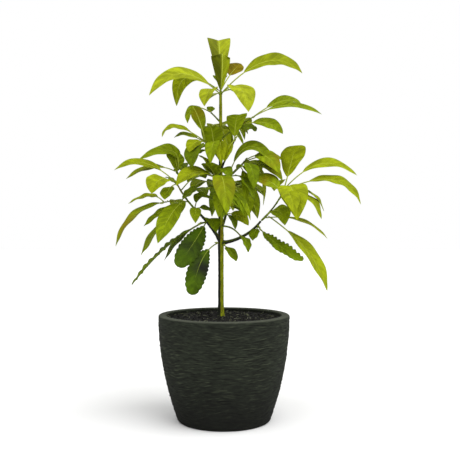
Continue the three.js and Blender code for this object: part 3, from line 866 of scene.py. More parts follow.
def fan(count: int, seed: int, heading: float, spread: float, reach: float, climb: float,
        rise: float, width: float, tones: Sequence[Tone]) -> tuple[Leaf, ...]:
    """A fan of leaves dealt along a stem by the golden turn, each a little unlike the last.

    Args:
        count: how many leaves.
        seed: where their variation starts.
        heading: the middle of the fan, in degrees.
        spread: how far it opens to each side.
        reach: how far out a leaf ends.
        climb: how far up it ends.
        rise: how steeply it sets off.
        width: how wide it is.
        tones: the tones, dealt in turn.

    Returns:
        The leaves.
    """
    deal = Stream(seed)
    made = []
    for k in range(count):
        turn = ((k * 0.618034 + 0.31) % 1) * 2 - 1
        at = mix(0.35, 1, (k + 0.5) / count)
        size = deal.next(0.78, 1.08)
        made.append(Leaf(
            tones[k % len(tones)], at, heading + turn * spread + deal.next(-6, 6), reach * size,
            climb + deal.next(-34, 30), rise + deal.next(-14, 14), deal.next(0.66, 0.86),
            width * deal.next(0.85, 1.1), deal.next(-22, 22)))
    return tuple(made)


YOUNG, FRESH, GREEN, DEEP, DUSKY, TINGED = Tone
BLUNT, TOOTHED = Outline.BLUNT, Outline.TOOTHED


# ---- trunk and boughs ----------------------------------------------------------------------
@dataclass
class Trunk:
    """The trunk: its taper, lean, root flare and the relief of its green bark."""

    foot: float = 236.3
    tip: float = 742.0
    x: float = -7.0
    lean: float = -0.8
    girth: tuple[tuple[float, float], ...] = (
        (236.3, 8.7), (243, 7.4), (262, 6.7), (300, 6.4), (350, 6.3), (392, 6.7), (407, 6.9),
        (422, 6.5), (476, 5.2), (540, 4.6), (600, 4.2), (660, 3.9), (700, 3.7), (742, 3.4))
    rows: int = 460
    around: int = 44
    node_step: float = 23.0

    def axis(self, z: np.ndarray | float) -> np.ndarray:
        """The trunk's axis at a height."""
        z = np.asarray(z, float)
        x = self.x + self.lean * (z - self.foot) / (self.tip - self.foot)
        return np.stack([x, np.zeros_like(x), z], axis=-1)

    def radius(self, z: np.ndarray | float) -> np.ndarray | float:
        """The trunk's radius at a height."""
        heights, radii = zip(*self.girth)
        return np.interp(z, heights, radii)

    def relief(self, z: float, angle: float) -> float:
        """The bark's relief at one place: old leaf scars, corky pimples, fine splits."""
        x, y = math.cos(angle), math.sin(angle)
        lumps = 0.34 * noise.noise((x * 1.1, y * 1.1, z * 0.05))
        splits = -0.3 * max(0.0, noise.noise((x * 6.0, y * 6.0, z * 0.035)) - 0.12)
        pimples = 0.9 * max(0.0, noise.noise((x * 4.5 + 3, y * 4.5, z * 0.42)) - 0.36)
        step = (z - self.foot) / self.node_step
        off = (step - round(step)) * self.node_step
        turn = math.cos(angle - round(step) * GOLDEN_TURN)
        scar = math.exp(-(off / 2.2) ** 2) * max(0.0, turn) ** 2
        ring = math.exp(-(off / 1.1) ** 2) * 0.12
        return lumps + splits + pimples + 0.55 * scar + ring

    def line(self, along: np.ndarray) -> tuple[np.ndarray, np.ndarray]:
        """The trunk's axis, from a little under the soil, and its direction."""
        z = self.foot - 1.0 + (self.tip + 2.0 - self.foot) * np.clip(
            (along * self.rows - 1) / (self.rows - 2), 0.0, 1.0)
        course = np.array((self.lean, 0.0, self.tip - self.foot))
        return self.axis(z), np.tile(course / np.linalg.norm(course), (len(along), 1))

    def bark(self, along: np.ndarray, turn: np.ndarray) -> np.ndarray:
        """The trunk's radius with its relief, which grows calmer towards the tip."""
        z = self.line(along)[0][:, 2]
        swell = [self.relief(a, b * TURN) for a, b in zip(z, turn)]
        calm = 0.45 + 0.55 * (1 - ease(520, 700, z))
        return self.radius(z) + np.array(swell) * calm

    @staticmethod
    def painted_shade(along: np.ndarray, turn: np.ndarray) -> np.ndarray:
        """Painted shade: how dark the bark is painted on its shaded left side, less so near the tip.
        """
        left = ease(0.15, 0.75, -np.cos((turn - 0.05) * TURN))
        return (1.0 - 0.7 * ease(0.6, 0.85, along)) * left

    def build(self) -> bpy.types.Object:
        """Returns: the trunk as one closed piece."""
        skin = Skin(crease=SOFT)
        # painted shade: the trunk's left side, away from the light, is painted dark
        skin.tube(self.line, self.rows, self.around, self.bark, self.painted_shade)
        return skin.piece("bark_trunk", [
            BarkFinish("bark_green", "8f9610", "5f680c", "77690f", "3b3d16")], ["trunk"])


@dataclass
class Boughs:
    """The six boughs, each one tapering limb that swells where it leaves the trunk."""

    trunk: Trunk
    rows: int = 110
    around: int = 22
    scar_step: float = 13.0

    def arc(self, bough: Bough) -> Arc:
        """The line of one bough."""
        return Arc.grow(self.trunk.axis(bough.height), bough.heading, bough.reach, bough.climb,
                        bough.rise, bough.lift)

    def bark(self, number: int, along: np.ndarray, turn: np.ndarray) -> np.ndarray:
        """A bough's radius with its collar, its scars and its splits.

        Args:
            number: the bough's number.
            along: shares of the way along it.
            turn: shares of the way round it.

        Returns:
            The radius at each place.
        """
        bough = BOUGHS[number]
        long = math.hypot(bough.reach, bough.climb)
        start = self.trunk.radius(bough.height) / long
        size = mix(bough.root, bough.tip, along)
        collar = 0.34 * bough.root * np.exp(-((along - start) * long / 4.5) ** 2)
        step = along * long / self.scar_step
        scar = 0.2 * np.exp(-((step - np.rint(step)) * self.scar_step / 1.6) ** 2)
        grain = [noise.noise((math.cos(a) * 2.5, math.sin(a) * 2.5 + number * 7, s * long * 0.11))
                 for s, a in zip(along, turn * TURN)]
        return size * 0.98 + collar + scar + np.array(grain) * 0.34

    def build(self) -> bpy.types.Object:
        """Returns: all the boughs as one piece, their undersides painted dark as shade."""
        skin = Skin(crease=SOFT)
        for number, bough in enumerate(BOUGHS):
            # painted shade: each bough's underside is painted dark
            skin.tube(self.arc(bough).line, self.rows, self.around, partial(self.bark, number),
                      lambda along, turn: ease(-0.5, 0.3, -np.cos(turn * TURN)))
        return skin.piece("bark_boughs", [
            BarkFinish("bough_green", "4d5a0c", "30380b", "574a0e", "23260f")],
            [bough.name for bough in BOUGHS])


# ---- the masses, and how their leaves find room --------------------------------------------
MASSES = (
    Mass("foliage_crown", "trunk", Trunk.tip, (90, 1, 14, 88), (
        Leaf(YOUNG, 0.9, 98, 75, 70, 80, 2.02, 56, 0, fold=15, stalk=0.06, shaded_half=0.5),
        Leaf(FRESH, 0.1, 116, 10, 66, 100, 2.1, 51, 0, fold=-20, stalk=0.02, shaded_half=0.66),
        Leaf(YOUNG, 0.1, 188, 163, -8, 42, 0.84, 50, -44, stalk=0.12),
        Leaf(FRESH, 0.5, 155, 115, -25, 38, 1.28, 40, 40),
        Leaf(YOUNG, 0.0, 238, 66, -36, 26, 0.8, 45),
        Leaf(TINGED, 0.6, 45, 67, 74, 58, 0.6, 44, 30, stalk=0.45),
        Leaf(FRESH, 0.1, 2, 188, 49, 48, 0.87, 55, 44, stalk=0.24),
        Leaf(YOUNG, 0.1, -50, 96, -53, 26, 0.8, 66, 8),
    ), (
        Leaf(GREEN, 0.5, 92, 96, 34, 58, 0.8, 36),
        Leaf(GREEN, 0.3, 58, 118, 4, 24, 0.7, 36),
        Leaf(FRESH, 0.2, 112, 122, 0, 12, 0.7, 36),
    )),
    Mass("foliage_up_left", "trunk", 678, (165, 24, 25, 50), (
        Leaf(DEEP, 0.95, 100, 14, 17, 60, 0.6, 20, 0, stalk=0.1),
        Leaf(GREEN, 1, 190, 53, -27, 30, 1.02, 38, -24),
    )),
    Mass("foliage_mid_left", "trunk", 590, (200, 37, 45, 55), (
        Leaf(GREEN, 1, 205, 39, 76, 72, 0.7, 36, 20, tinge=0.7),
        Leaf(FRESH, 0.85, 180, 104, 14, 38, 1.06, 33, -27),
        Leaf(GREEN, 0.8, 172, 80, 16, 34, 0.85, 30, -25),
        Leaf(FRESH, 0.9, 225, 54, -26, 12, 0.7, 38, -20),
        Leaf(GREEN, 0.45, 250, 22, 54, 85, 0.8, 48, 10, stalk=0.12),
        Leaf(DEEP, 0.5, 160, 44, -14, 10, 0.6, 24),
        Leaf(DEEP, 0.7, 226, 56, -54, 14, 0.8, 58),
    ), (Leaf(DEEP, 0.3, 130, 70, 10, 50, 0.8, 34),)),
    Mass("foliage_fork_left", "bough_fork_left", 1, (165, 6, 8, 60), (
        Leaf(GREEN, 0.6, 180, 91, 30, 102, 0.93, 42, -42),
        Leaf(GREEN, 0.6, 130, 34, 52, 85, 0.8, 50, 0, stalk=0.03),
        Leaf(FRESH, 0.9, 180, 118, -17, 28, 0.55, 35, -28),
    ), (Leaf(DEEP, 0.8, 84, 84, 6, 40, 0.8, 36),)),
    Mass("foliage_left", "bough_left", 1, (180, 46, 63, 45), (
        Leaf(FRESH, 1, 178, 145, 31, 45, 0.76, 34, -34),
        Leaf(FRESH, 1, 233, 84, -26, 20, 0.85, 54, -20),
        Leaf(GREEN, 1, 238, 46, -38, -10, 0.6, 38, 0, stalk=0.35),
        Leaf(GREEN, 0.9, 140, 40, 24, 40, 0.7, 24),
        Leaf(DEEP, 0.1, 60, 34, 40, 70, 0.7, 26),
        Leaf(GREEN, 0.08, 274, 28, -32, 22, 0.7, 27),
        Leaf(DEEP, 0.1, 20, 46, -8, 15, 0.6, 28, 30),
    ), (
        Leaf(GREEN, 0.75, 58, 100, 34, 40, 0.8, 42),
        Leaf(DEEP, 0.5, 66, 104, 6, 34, 0.8, 42),
    ), Twig(0.35, (195, 57, -2, 10), (
        Leaf(FRESH, 1, 178, 82, -3, 54, 0.5, 28, -24),
        Leaf(GREEN, 0.8, 185, 119, -102, -6, 0.58, 36, -27, stalk=0.1, tinge=0.8),
        Leaf(GREEN, 0.45, 192, 76, -58, -30, 0.45, 26, -28),
        Leaf(GREEN, 0.2, 229, 80, -95, -26, 0.4, 47, -32, stalk=0.14),
        Leaf(GREEN, 0.35, 170, 91, -124.5, -49, 0.69, 40, -34),
        Leaf(DEEP, 0.3, 15, 42, 36, 45, 0.5, 40, 20, stalk=0.1),
        Leaf(GREEN, 0.7, 80, 84, -28, 14, 0.7, 40),
    ))),
    Mass("foliage_low_left", "bough_left", 0.6, (200, 14, -3, -10), (
        Leaf(DEEP, 0.9, 180, 160, -142, -24, 0.38, 48, -12, shape=TOOTHED, fold=14, stalk=0.16),
        Leaf(DEEP, 0.7, 168, 92, -88, -24, 0.5, 38, -30),
        Leaf(DUSKY, 0.15, 224, 85, -99, -55, 0.32, 52, -52, shape=TOOTHED, fold=10, stalk=0.12,
             tinge=0.55),
        Leaf(DEEP, 0.2, -50, 38, -23, 48, 0.7, 42),
    )),
    Mass("foliage_low_front", "trunk", 402, (218, 9, 1, 5), (
        Leaf(DUSKY, 0.9, 222, 77, -114, -16, 0.42, 48, -52, shape=TOOTHED, fold=10, stalk=0.26,
             tinge=1.0),
    )),
    Mass("foliage_low_right", "trunk", 398, (-52, 9, 1, 5), (
        Leaf(DEEP, 0.9, -46, 43, -37, -16, 0.45, 33),
    )),
    Mass("foliage_under_right", "trunk", 441, (-40, 60, -24, 5), (
        Leaf(DEEP, 0.95, -54, 29, -37, -10, 0.6, 24, stalk=0.1),
    )),
    Mass("foliage_side_right", "bough_right", 0.9, (-50, 5, -7, -58), (
        Leaf(DEEP, 0.9, -25, 104, -73, -49, 0.36, 43, 24, shape=TOOTHED, fold=10, stalk=0.12),
        Leaf(DEEP, 0.5, 235, 24, -32, -30, 0.5, 28),
    )),
    Mass("foliage_right", "bough_right", 1, (-12, 52, 70, 42), (
        Leaf(FRESH, 0.2, -3, 135, -171, -34, 0.62, 58, 30, stalk=0.22),
        Leaf(YOUNG, 0.1, 0, 143, -47, 8, 0.62, 24, 22),
        Leaf(GREEN, 0.15, -42, 55, -20, 38, 0.95, 54, 20, stalk=0.12),
        Leaf(FRESH, 1, 48, 44, 103, 66, 0.75, 71, 0, fold=10, shape=BLUNT, stalk=0.2),
        Leaf(FRESH, 1, 4, 167, 32, 49, 0.78, 41, 35, stalk=0.24),
        Leaf(FRESH, 0.97, -6, 171, -32, 25, 0.84, 43, 30),
        Leaf(FRESH, 0.95, -75, 90, -66, 28, 0.7, 68, 8, stalk=0.15),
        Leaf(FRESH, 0.92, -20, 94, -44, 18, 0.7, 34),
        Leaf(FRESH, 0.85, -37, 102, -56, 12, 0.7, 40),
        Leaf(GREEN, 0.9, 172, 66, 32, 55, 0.6, 56, -35, tinge=0.8, stalk=0.12),
    ), (
        Leaf(GREEN, 0.6, 60, 120, -20, 34, 0.78, 46),
        Leaf(FRESH, 0.85, 95, 112, 14, 44, 0.8, 42),
        Leaf(FRESH, 0.7, 283, 112, -36, 30, 0.75, 46),
    )),
    Mass("foliage_mid_right", "trunk", 540, (8, 56, 52, 35), (
        Leaf(GREEN, 0.25, -5, 122, 5, 72, 1.2, 46, 35, stalk=0.14),
        Leaf(GREEN, 1, -30, 88, -33, 30, 0.7, 46, 36, tinge=1.0),
        Leaf(FRESH, 0.95, 14, 98, 4, 24, 0.7, 38, 30),
        Leaf(GREEN, 0.9, -15, 92, -42, 10, 0.6, 40, 34, tinge=0.9),
        Leaf(DEEP, 0.85, -52, 60, -60, 10, 0.7, 36),
        Leaf(GREEN, 0.75, -68, 32, -86, -20, 0.5, 22),
        Leaf(DEEP, 0.35, -28, 66, -14, 48, 0.9, 48),
        Leaf(DEEP, 0.25, -40, 76, -50, 20, 0.6, 40),
        Leaf(FRESH, 1, -4, 42, -104, 0, 0.45, 28, 20),
    ), (Leaf(GREEN, 0.7, 60, 104, -10, 30, 0.8, 42),)),
    Mass("foliage_up_right", "trunk", 640, (5, 72, 50, 40), (
        Leaf(GREEN, 0.6, -8, 99, -22, 15, 0.72, 43, 41),
        Leaf(GREEN, 1, 15, 121, 37, 38, 0.84, 39, 36),
        Leaf(GREEN, 0.95, -6, 163, 7, 33, 0.62, 31, 34),
        Leaf(DEEP, 0.3, 8, 61, 3, 33, 0.7, 36, 34, shape=BLUNT),
    ), (
        Leaf(FRESH, 0.5, 70, 86, 4, 44, 0.8, 36),
        Leaf(GREEN, 0.45, 290, 84, -8, 38, 0.75, 36),
    )),
    Mass("foliage_front_right", "bough_front_right", 1, (-20, 3, 6, 70), (
        Leaf(GREEN, 0.5, 60, 22, 60, 88, 0.9, 53, 0, fold=10, shape=BLUNT, stalk=0.06),
        Leaf(FRESH, 0.9, 235, 41, -54, -35, 0.6, 29),
    )),
    Mass("foliage_front", "trunk", 540, (235, 14, 9, 30), (
        Leaf(GREEN, 1, 282.5, 104, -83, 20, 0.6, 51, 0, stalk=0.2, tinge=0.6),
        Leaf(FRESH, 0.6, 216, 113, -16, 33, 0.66, 54, -25, stalk=0.08),
    ), (
        Leaf(DEEP, 0.9, 300, 62, -5, 66, 0.85, 34, 10),
        Leaf(GREEN, 0.8, 230, 46, 34, 50, 0.7, 52, stalk=0.1),
        Leaf(FRESH, 1, 196, 44, 52, 64, 0.7, 34),
    )),
    Mass("foliage_lower_front", "trunk", 462, (-30, 14, 10, 40), (
        Leaf(GREEN, 1, -30, 55, -14, 48, 0.8, 36, 15),
        Leaf(FRESH, 0.6, -5, 56, -26, 10, 0.6, 42, 34),
        Leaf(DEEP, 0.5, -35, 31, -34, 5, 0.6, 34),
    )),
    Mass("foliage_back_low", "bough_back_low", 1, (82, 38, 46, 50),
         more=fan(9, 11, 80, 44, 118, -30, 30, 44, (GREEN, DEEP, FRESH))),
    Mass("foliage_back_high", "bough_back_high", 1, (104, 22, 34, 60),
         more=fan(7, 29, 70, 34, 122, -2, 40, 38, (FRESH, GREEN))),
    Mass("foliage_back_mid", "trunk", 506, (96, 34, 26, 40),
         more=fan(6, 47, 92, 74, 116, -28, 34, 40, (GREEN, DEEP))),
    Mass("foliage_back_top", "trunk", 655, (76, 20, 18, 45),
         more=fan(6, 83, 78, 24, 116, -12, 32, 36, (FRESH, YOUNG, GREEN))),
    Mass("foliage_front_high", "trunk", 612, (250, 16, 12, 42),
         more=fan(4, 61, 246, 34, 60, -14, 36, 34, (GREEN, FRESH))),
    Mass("foliage_front_low", "trunk", 492, (286, 18, 12, 35), (
        Leaf(DEEP, 0.1, 186, 60, 18, 28, 0.6, 32, -20),
    ), fan(5, 97, 292, 40, 92, -22, 30, 38, (DEEP, GREEN))),
)


def gaps(points: np.ndarray, tris: np.ndarray) -> np.ndarray:
    """How far each point is from each triangle.

    Args:
        points: the points, one a row.
        tris: the triangles, each three points.

    Returns:
        Distances, a row for each point and a column for each triangle.
    """
    p = points[:, None]
    corners = [tris[None, :, k] for k in range(3)]
    normal = np.cross(corners[1] - corners[0], corners[2] - corners[0])
    area = np.linalg.norm(normal, axis=-1)
    inside = np.broadcast_to(area > 1e-9, (len(points), len(tris)))
    best = np.full((len(points), len(tris)), np.inf)
    for k in range(3):
        start, edge = corners[k], corners[(k + 1) % 3] - corners[k]
        off = p - start
        long = np.maximum((edge * edge).sum(-1), 1e-12)
        way = np.clip((off * edge).sum(-1) / long, 0.0, 1.0)
        best = np.minimum(best, np.linalg.norm(off - way[..., None] * edge, axis=-1))
        inside = inside & ((np.cross(edge, off) * normal).sum(-1) >= 0)
    plane = np.abs(((p - corners[0]) * normal).sum(-1)) / np.maximum(area, 1e-12)
    return np.where(inside, plane, best)


def pierced(wires: np.ndarray, tris: np.ndarray) -> bool:
    """Whether any of the wires goes through any of the triangles."""
    p, way = wires[:, None, 0], (wires[:, 1] - wires[:, 0])[:, None]
    a = tris[None, :, 0]
    ab, ac = tris[None, :, 1] - a, tris[None, :, 2] - a
    h = np.cross(way, ac)
    det = (ab * h).sum(-1)
    safe = np.where(np.abs(det) < 1e-9, 1.0, det)
    s = p - a
    g = np.cross(s, ab)
    u, v, t = (s * h).sum(-1) / safe, (way * g).sum(-1) / safe, (ac * g).sum(-1) / safe
    hit = (np.abs(det) >= 1e-9) & (u >= 0) & (v >= 0) & (u + v <= 1) & (t >= 0) & (t <= 1)
    return bool(hit.any())


class Net:
    """A leaf as a thin sheet of triangles with its wires and points, for the nearness test."""

    SPREAD = 8

    def __init__(self, arc: Arc, own: Leaf) -> None:
        """Args: arc: the leaf's line. own: the leaf."""
        v = np.arange(1, self.SPREAD) / self.SPREAD
        t = mix(own.stalk, 1.0, v)
        at = arc.point(t)
        side, face = arc.frame(t, own.roll)
        half = (own.shape.half(v) * own.width / 2)[:, None]
        fold = math.radians(own.fold)
        out, up = side * half * math.cos(fold), face * half * math.sin(fold)
        rows = np.stack([at + out + up, at, at - out + up], axis=1)
        first, last = np.tile(arc.point(own.stalk), (3, 1)), np.tile(arc.tip, (3, 1))
        rows = np.concatenate([first[None], rows, last[None]])
        stalk = arc.point(own.stalk * np.arange(5) / 4)
        tris, wires = [], list(np.stack([rows[:-1], rows[1:]], axis=2).reshape(-1, 2, 3))
        for r in range(len(rows) - 1):
            for c in range(2):
                a, b, d, e = rows[r, c], rows[r, c + 1], rows[r + 1, c], rows[r + 1, c + 1]
                tris += [(a, b, e), (a, e, d)]
                wires += [(a, b), (a, e)]
        self.tris = np.array(tris)
        self.wires = np.array(wires + list(zip(stalk[:-1], stalk[1:])))
        self.points = np.concatenate([first[:1], rows[1:-1].reshape(-1, 3), last[:1], stalk[1:]])
        every = np.concatenate([self.points, stalk[:1]])
        self.low, self.high = every.min(0) - CLEAR_OF_LEAF, every.max(0) + CLEAR_OF_LEAF

    def touches(self, other: "Net") -> bool:
        """Whether the two leaves cross or come too near."""
        if (self.low > other.high).any() or (other.low > self.high).any():
            return False
        return (pierced(self.wires, other.tris) or pierced(other.wires, self.tris)
                or gaps(self.points, other.tris).min() < CLEAR_OF_LEAF
                or gaps(other.points, self.tris).min() < CLEAR_OF_LEAF)

    def meets(self, beads: np.ndarray) -> bool:
        """Whether the leaf comes too near a limb, given as rows of x, y, z and radius."""
        return bool((gaps(beads[:, :3], self.tris) < beads[:, 3:] + CLEAR_OF_LEAF).any())


@dataclass
class Standing:
    """A leaf that found its place."""

    own: Leaf
    arc: Arc
    net: Net
    mass: str


@dataclass
class Shoot:
    """A stem or side twig, as it stands."""

    arc: Arc
    root: float
    tip: float
    leaves: tuple[Leaf, ...]
    mass: str
    main: bool = True

    @property
    def long(self) -> float:
        """How far its tip is from its root."""
        return float(np.linalg.norm(self.arc.tip - self.arc.root))


@dataclass
class Growth:
    """The crown grown by the solids' own rule, so that every leaf stands where its solid is."""

    trunk: Trunk
    boughs: Boughs
    shoots: list[Shoot] = field(default_factory=list)
    standing: list[Standing] = field(default_factory=list)

    def grow(self) -> None:
        """Sets every stem, then every leaf that keeps clear of what stands already."""
        arcs = {bough.name: self.boughs.arc(bough) for bough in BOUGHS}
        for mass in MASSES:
            root = self.trunk.axis(mass.at) if mass.on == "trunk" else arcs[mass.on].point(mass.at)
            stem = Arc.grow(root, *mass.stem, LIMB_LIFT)
            self.shoots.append(Shoot(stem, STEM_ROOT, STEM_TIP, mass.leaves, mass.name))
            if mass.twig:
                arc = Arc.grow(stem.point(mass.twig.at), *mass.twig.stem, LIMB_LIFT)
                self.shoots.append(
                    Shoot(arc, STEM_TIP, STEM_TIP * 0.8, mass.twig.leaves, mass.name, False))
        limbs = self.limb_beads(arcs)
        stems = {mass.name: np.concatenate([
            self.beads(s.arc, 0.2, 1.0, s.root, s.tip) for s in self.shoots
            if s.mass == mass.name]) for mass in MASSES}
        for shoot in self.shoots:
            for own in shoot.leaves:
                self.settle(shoot, own, limbs, stems)
        for mass in MASSES:
            main = next(s for s in self.shoots if s.mass == mass.name and s.main)
            for own in mass.more:
                self.settle(main, own, limbs, stems)

    @staticmethod
    def beads(arc: Arc, start: float, end: float, thick: float, thin: float) -> np.ndarray:
        """A limb as seventeen rows of x, y, z and radius."""
        t = mix(start, end, np.arange(17) / 16)
        return np.column_stack([arc.point(t), mix(thick, thin, t)])

    def limb_beads(self, arcs: dict[str, Arc]) -> np.ndarray:
        """The trunk and the boughs as rows of x, y, z and radius."""
        heights = np.array([z for z, _ in self.trunk.girth])
        z = (heights[:-1, None] + np.diff(heights)[:, None] * np.array((0, 0.25, 0.5, 0.75))).ravel()
        rows = [np.column_stack([self.trunk.axis(z), self.trunk.radius(z)])]
        rows += [self.beads(arcs[b.name], 0.1, 1.0, b.root, b.tip) for b in BOUGHS]
        return np.concatenate(rows)

    def settle(self, shoot: Shoot, own: Leaf, limbs: np.ndarray,
               stems: dict[str, np.ndarray]) -> None:
        """Stands a leaf at the first heading that keeps it clear, or leaves it out.

        Args:
            shoot: what it springs from.
            own: the leaf.
            limbs: the trunk and boughs as beads.
            stems: each mass's stems as beads.
        """
        base = shoot.arc.point(own.at)
        beads = np.concatenate([limbs] + [b for name, b in stems.items() if name != shoot.mass])
        beads = beads[np.linalg.norm(beads[:, :3] - base, axis=1) > STEM_ROOT * 4]
        others = [s.net for s in self.standing if s.mass != shoot.mass]
        for turn in TURNS:
            turned = replace(own, heading=own.heading + turn)
            arc = Arc.grow(base, turned.heading, own.reach, own.climb, own.rise, own.lift)
            net = Net(arc, turned)
            if not any(net.touches(other) for other in others) and not net.meets(beads):
                self.standing.append(Standing(turned, arc, net, shoot.mass))
                return


# ---- foliage -------------------------------------------------------------------------------
@dataclass
class Foliage:
    """Leaves, stalks with their midribs, twigs and buds, joined each kind apart."""

    growth: Growth
    rows: int = 34
    around: int = 20
    toothed_rows: int = 96
    teeth: int = 11
    bite: float = 2.4
    curl: float = 3.0
    thick: float = 0.9
    quilt: float = 0.96
    tip_bud: tuple[float, float] = (10.0, 2.0)
    side_bud: tuple[float, float] = (5.5, 1.1)

    def build(self) -> list[bpy.types.Object]:
        """Returns: every piece of the foliage."""
        made = []
        for tone in Tone:
            leaves = [s for s in self.growth.standing if s.own.tone is tone]
            made.append(self.blades(tone, leaves))
            made.append(self.ribs(tone, leaves))
        made.append(self.twigs())
        made.append(self.buds())
        return made

    def blades(self, tone: Tone, leaves: list[Standing]) -> bpy.types.Object:
        """All the blades of one tone as one piece.

        Args:
            tone: their finish.
            leaves: the leaves.

        Returns:
            The piece.
        """
        skin = Skin()
        for number, one in enumerate(leaves):
            self.blade(skin, one, Stream(number * 97 + 13 * len(leaves)))
        return skin.piece(tone.value.name.replace("leaf", "leaves"), [tone.value],
                          sorted({s.mass for s in leaves}))

    def blade(self, skin: Skin, one: Standing, deal: Stream) -> None:
        """Adds one blade: folded on its midrib, quilted between veins, its margin waving.

        Args:
            skin: the piece it joins.
            one: the leaf.
            deal: its own variation.
        """
        own, arc = one.own, one.arc
        toothed = own.shape is TOOTHED
        fold = math.radians(own.fold)
        wave, waves, lag = deal.next(0.4, 1.5), deal.next(1.6, 3.2), deal.next(0.0, ROUGH_TURN)
        droop = deal.next(0.02, 0.12)

        def across(turn: np.ndarray) -> np.ndarray:
            """Where each place lies across the blade: -1 at its right edge, 1 at its left."""
            return np.where(turn <= 0.5, 1.0 - 4.0 * turn, 4.0 * turn - 3.0)

        def place(along: np.ndarray, turn: np.ndarray) -> np.ndarray:
            """The points of the blade's skin."""
            u = across(turn)
            size = np.abs(u)
            t = mix(own.stalk, 1.0, along)
            notch = 0.0
            if toothed:
                notch = (1.0 - np.abs(np.sin(math.pi * along * self.teeth))) * size ** 3 * (
                    ease(0.0, 0.12, along) * (1.0 - ease(0.93, 1.0, along)))
            half = np.maximum(own.shape.half(along) * own.width / 2 - self.bite * notch, 0.0)
            phase = (along - size * VEIN_SWEEP) * VEIN_PAIRS
            bulge = np.abs(np.sin(math.pi * phase)) * size * (1.0 - size ** 3)
            taper = ease(0.0, 0.15, along) * (1.0 - ease(0.85, 1.0, along))
            ripple = np.sin(along * waves * ROUGH_TURN + lag + (u > 0) * 1.9)
            edge = self.thick * (1.0 - size ** 2) * ease(0.0, 1.0, half)
            up = (half * size * math.sin(fold) - half * droop * size ** 3
                  + self.quilt * bulge * taper - self.curl * notch
                  + wave * size ** 2 * taper * ripple + np.where(turn <= 0.5, 0.5, -0.5) * edge)
            side, face = arc.frame(t, own.roll)
            return (arc.point(t) + side * (u * half * math.cos(fold))[:, None]
                    + face * up[:, None])

        spot, lightness = deal.next(0.35, 0.75), deal.next(0.88, 1.08)
        # painted shade: each blade's left half is painted darker by its leaf's last field, over a
        # random lightness
        skin.wrap(self.toothed_rows if toothed else self.rows, self.around, place,
                  lambda along, turn: lightness * (1.0 - own.shaded_half * (across(turn) > 1e-6)),
                  lambda along, turn: own.tinge * np.exp(-((along - spot) / 0.24) ** 2))

    def ribs(self, tone: Tone, leaves: list[Standing]) -> bpy.types.Object:
        """The stalks and midribs of one tone's leaves as one piece.

        Args:
            tone: the leaves' finish.
            leaves: the leaves.

        Returns:
            The piece.
        """
        skin = Skin(crease=SOFT)
        for one in leaves:
            skin.tube(partial(self.rib_line, one), 28, 8, partial(self.rib_radius, one.own))
        finish = (RibFinish("rib_dark_leaf", "8b9a1c", "5c6a12") if tone in (DUSKY, DEEP)
                  else RibFinish("rib_pale_leaf", "aeb834", "74820f"))
        return skin.piece(f"ribs_{tone.name.lower()}", [finish])

    @staticmethod
    def rib_line(one: Standing, along: np.ndarray) -> tuple[np.ndarray, np.ndarray]:
        """A stalk's line, which runs on as the midrib, sunk a little into the blade."""
        stalk, way = one.own.stalk, along * 0.985
        _, face = one.arc.frame(way, one.own.roll)
        sink = 0.12 * ease(stalk * 0.9, stalk * 1.3 + 0.02, along)
        return one.arc.point(way) - face * sink[:, None], one.arc.direction(way)

    @staticmethod
    def rib_radius(own: Leaf, along: np.ndarray, turn: np.ndarray) -> np.ndarray:
        """A stalk's radius with its swollen foot, then the midrib's down to its tip."""
        stout = mix(0.95, 1.25, min(1.0, own.width / 55))
        foot = 0.5 * np.exp(-(along / 0.03) ** 2)
        rib = mix(0.95, 0.4, ease(own.stalk, 1.0, along) ** 0.8)
        return stout * (np.where(along < own.stalk, 1.15, rib * 1.05) + foot)

    def twigs(self) -> bpy.types.Object:
        """Returns: the stems of every mass, knotted where leaves spring from them."""
        skin = Skin(crease=SOFT)
        for number, shoot in enumerate(self.growth.shoots):
            rows = max(14, int(shoot.long / 1.6))
            skin.tube(shoot.arc.line, rows, 12, partial(self.knotted, number))
        return skin.piece("twigs", [BarkFinish("twig_green", "6c7d16", "46550e", "6a6014",
                                               "2c3010")],
                          [mass.name for mass in MASSES])

    def knotted(self, number: int, along: np.ndarray, turn: np.ndarray) -> np.ndarray:
        """A twig's radius, swollen where leaves spring from it.

        Args:
            number: the twig's number among the shoots.
            along: shares of the way along it.
            turn: shares of the way round it.

        Returns:
            The radius at each place.
        """
        shoot = self.growth.shoots[number]
        size = mix(shoot.root, shoot.tip, along)
        for one in self.growth.standing:
            if shoot.main and one.mass == shoot.mass:
                size = size + 0.45 * np.exp(-((along - one.own.at) * shoot.long / 2.4) ** 2)
        grain = [noise.noise((math.cos(a) * 1.5, math.sin(a) * 1.5,
                              s * shoot.long * 0.14 + number * 11))
                 for s, a in zip(along, turn * ROUGH_TURN)]
        return size * 0.95 + 0.22 * np.array(grain)

    def buds(self) -> bpy.types.Object:
        """Returns: a pointed bud at each shoot's tip and small ones in the leaves' angles."""
        skin = Skin(crease=SOFT)
        for shoot in self.growth.shoots:
            self.bud(skin, shoot.arc.tip, shoot.arc.direction(1.0), *self.tip_bud)
        for one in self.growth.standing:
            course = one.arc.direction(0.0) + np.array((0.0, 0.0, 0.9))
            self.bud(skin, one.arc.point(0.0), course / np.linalg.norm(course), *self.side_bud)
        return skin.piece("buds", [RibFinish("bud_green", "93a02a", "6d7c1c")])

    @staticmethod
    def bud(skin: Skin, root: np.ndarray, course: np.ndarray, long: float, wide: float) -> None:
        """Adds one pointed bud.

        Args:
            skin: the piece it joins.
            root: where it sits.
            course: where it points.
            long: its length.
            wide: its radius.
        """
        skin.tube(lambda t: (root + course * (t * long)[:, None], np.tile(course, (len(t), 1))),
                  8, 8, lambda along, turn: wide * np.sin(math.pi * along ** 0.7) + 0.05)


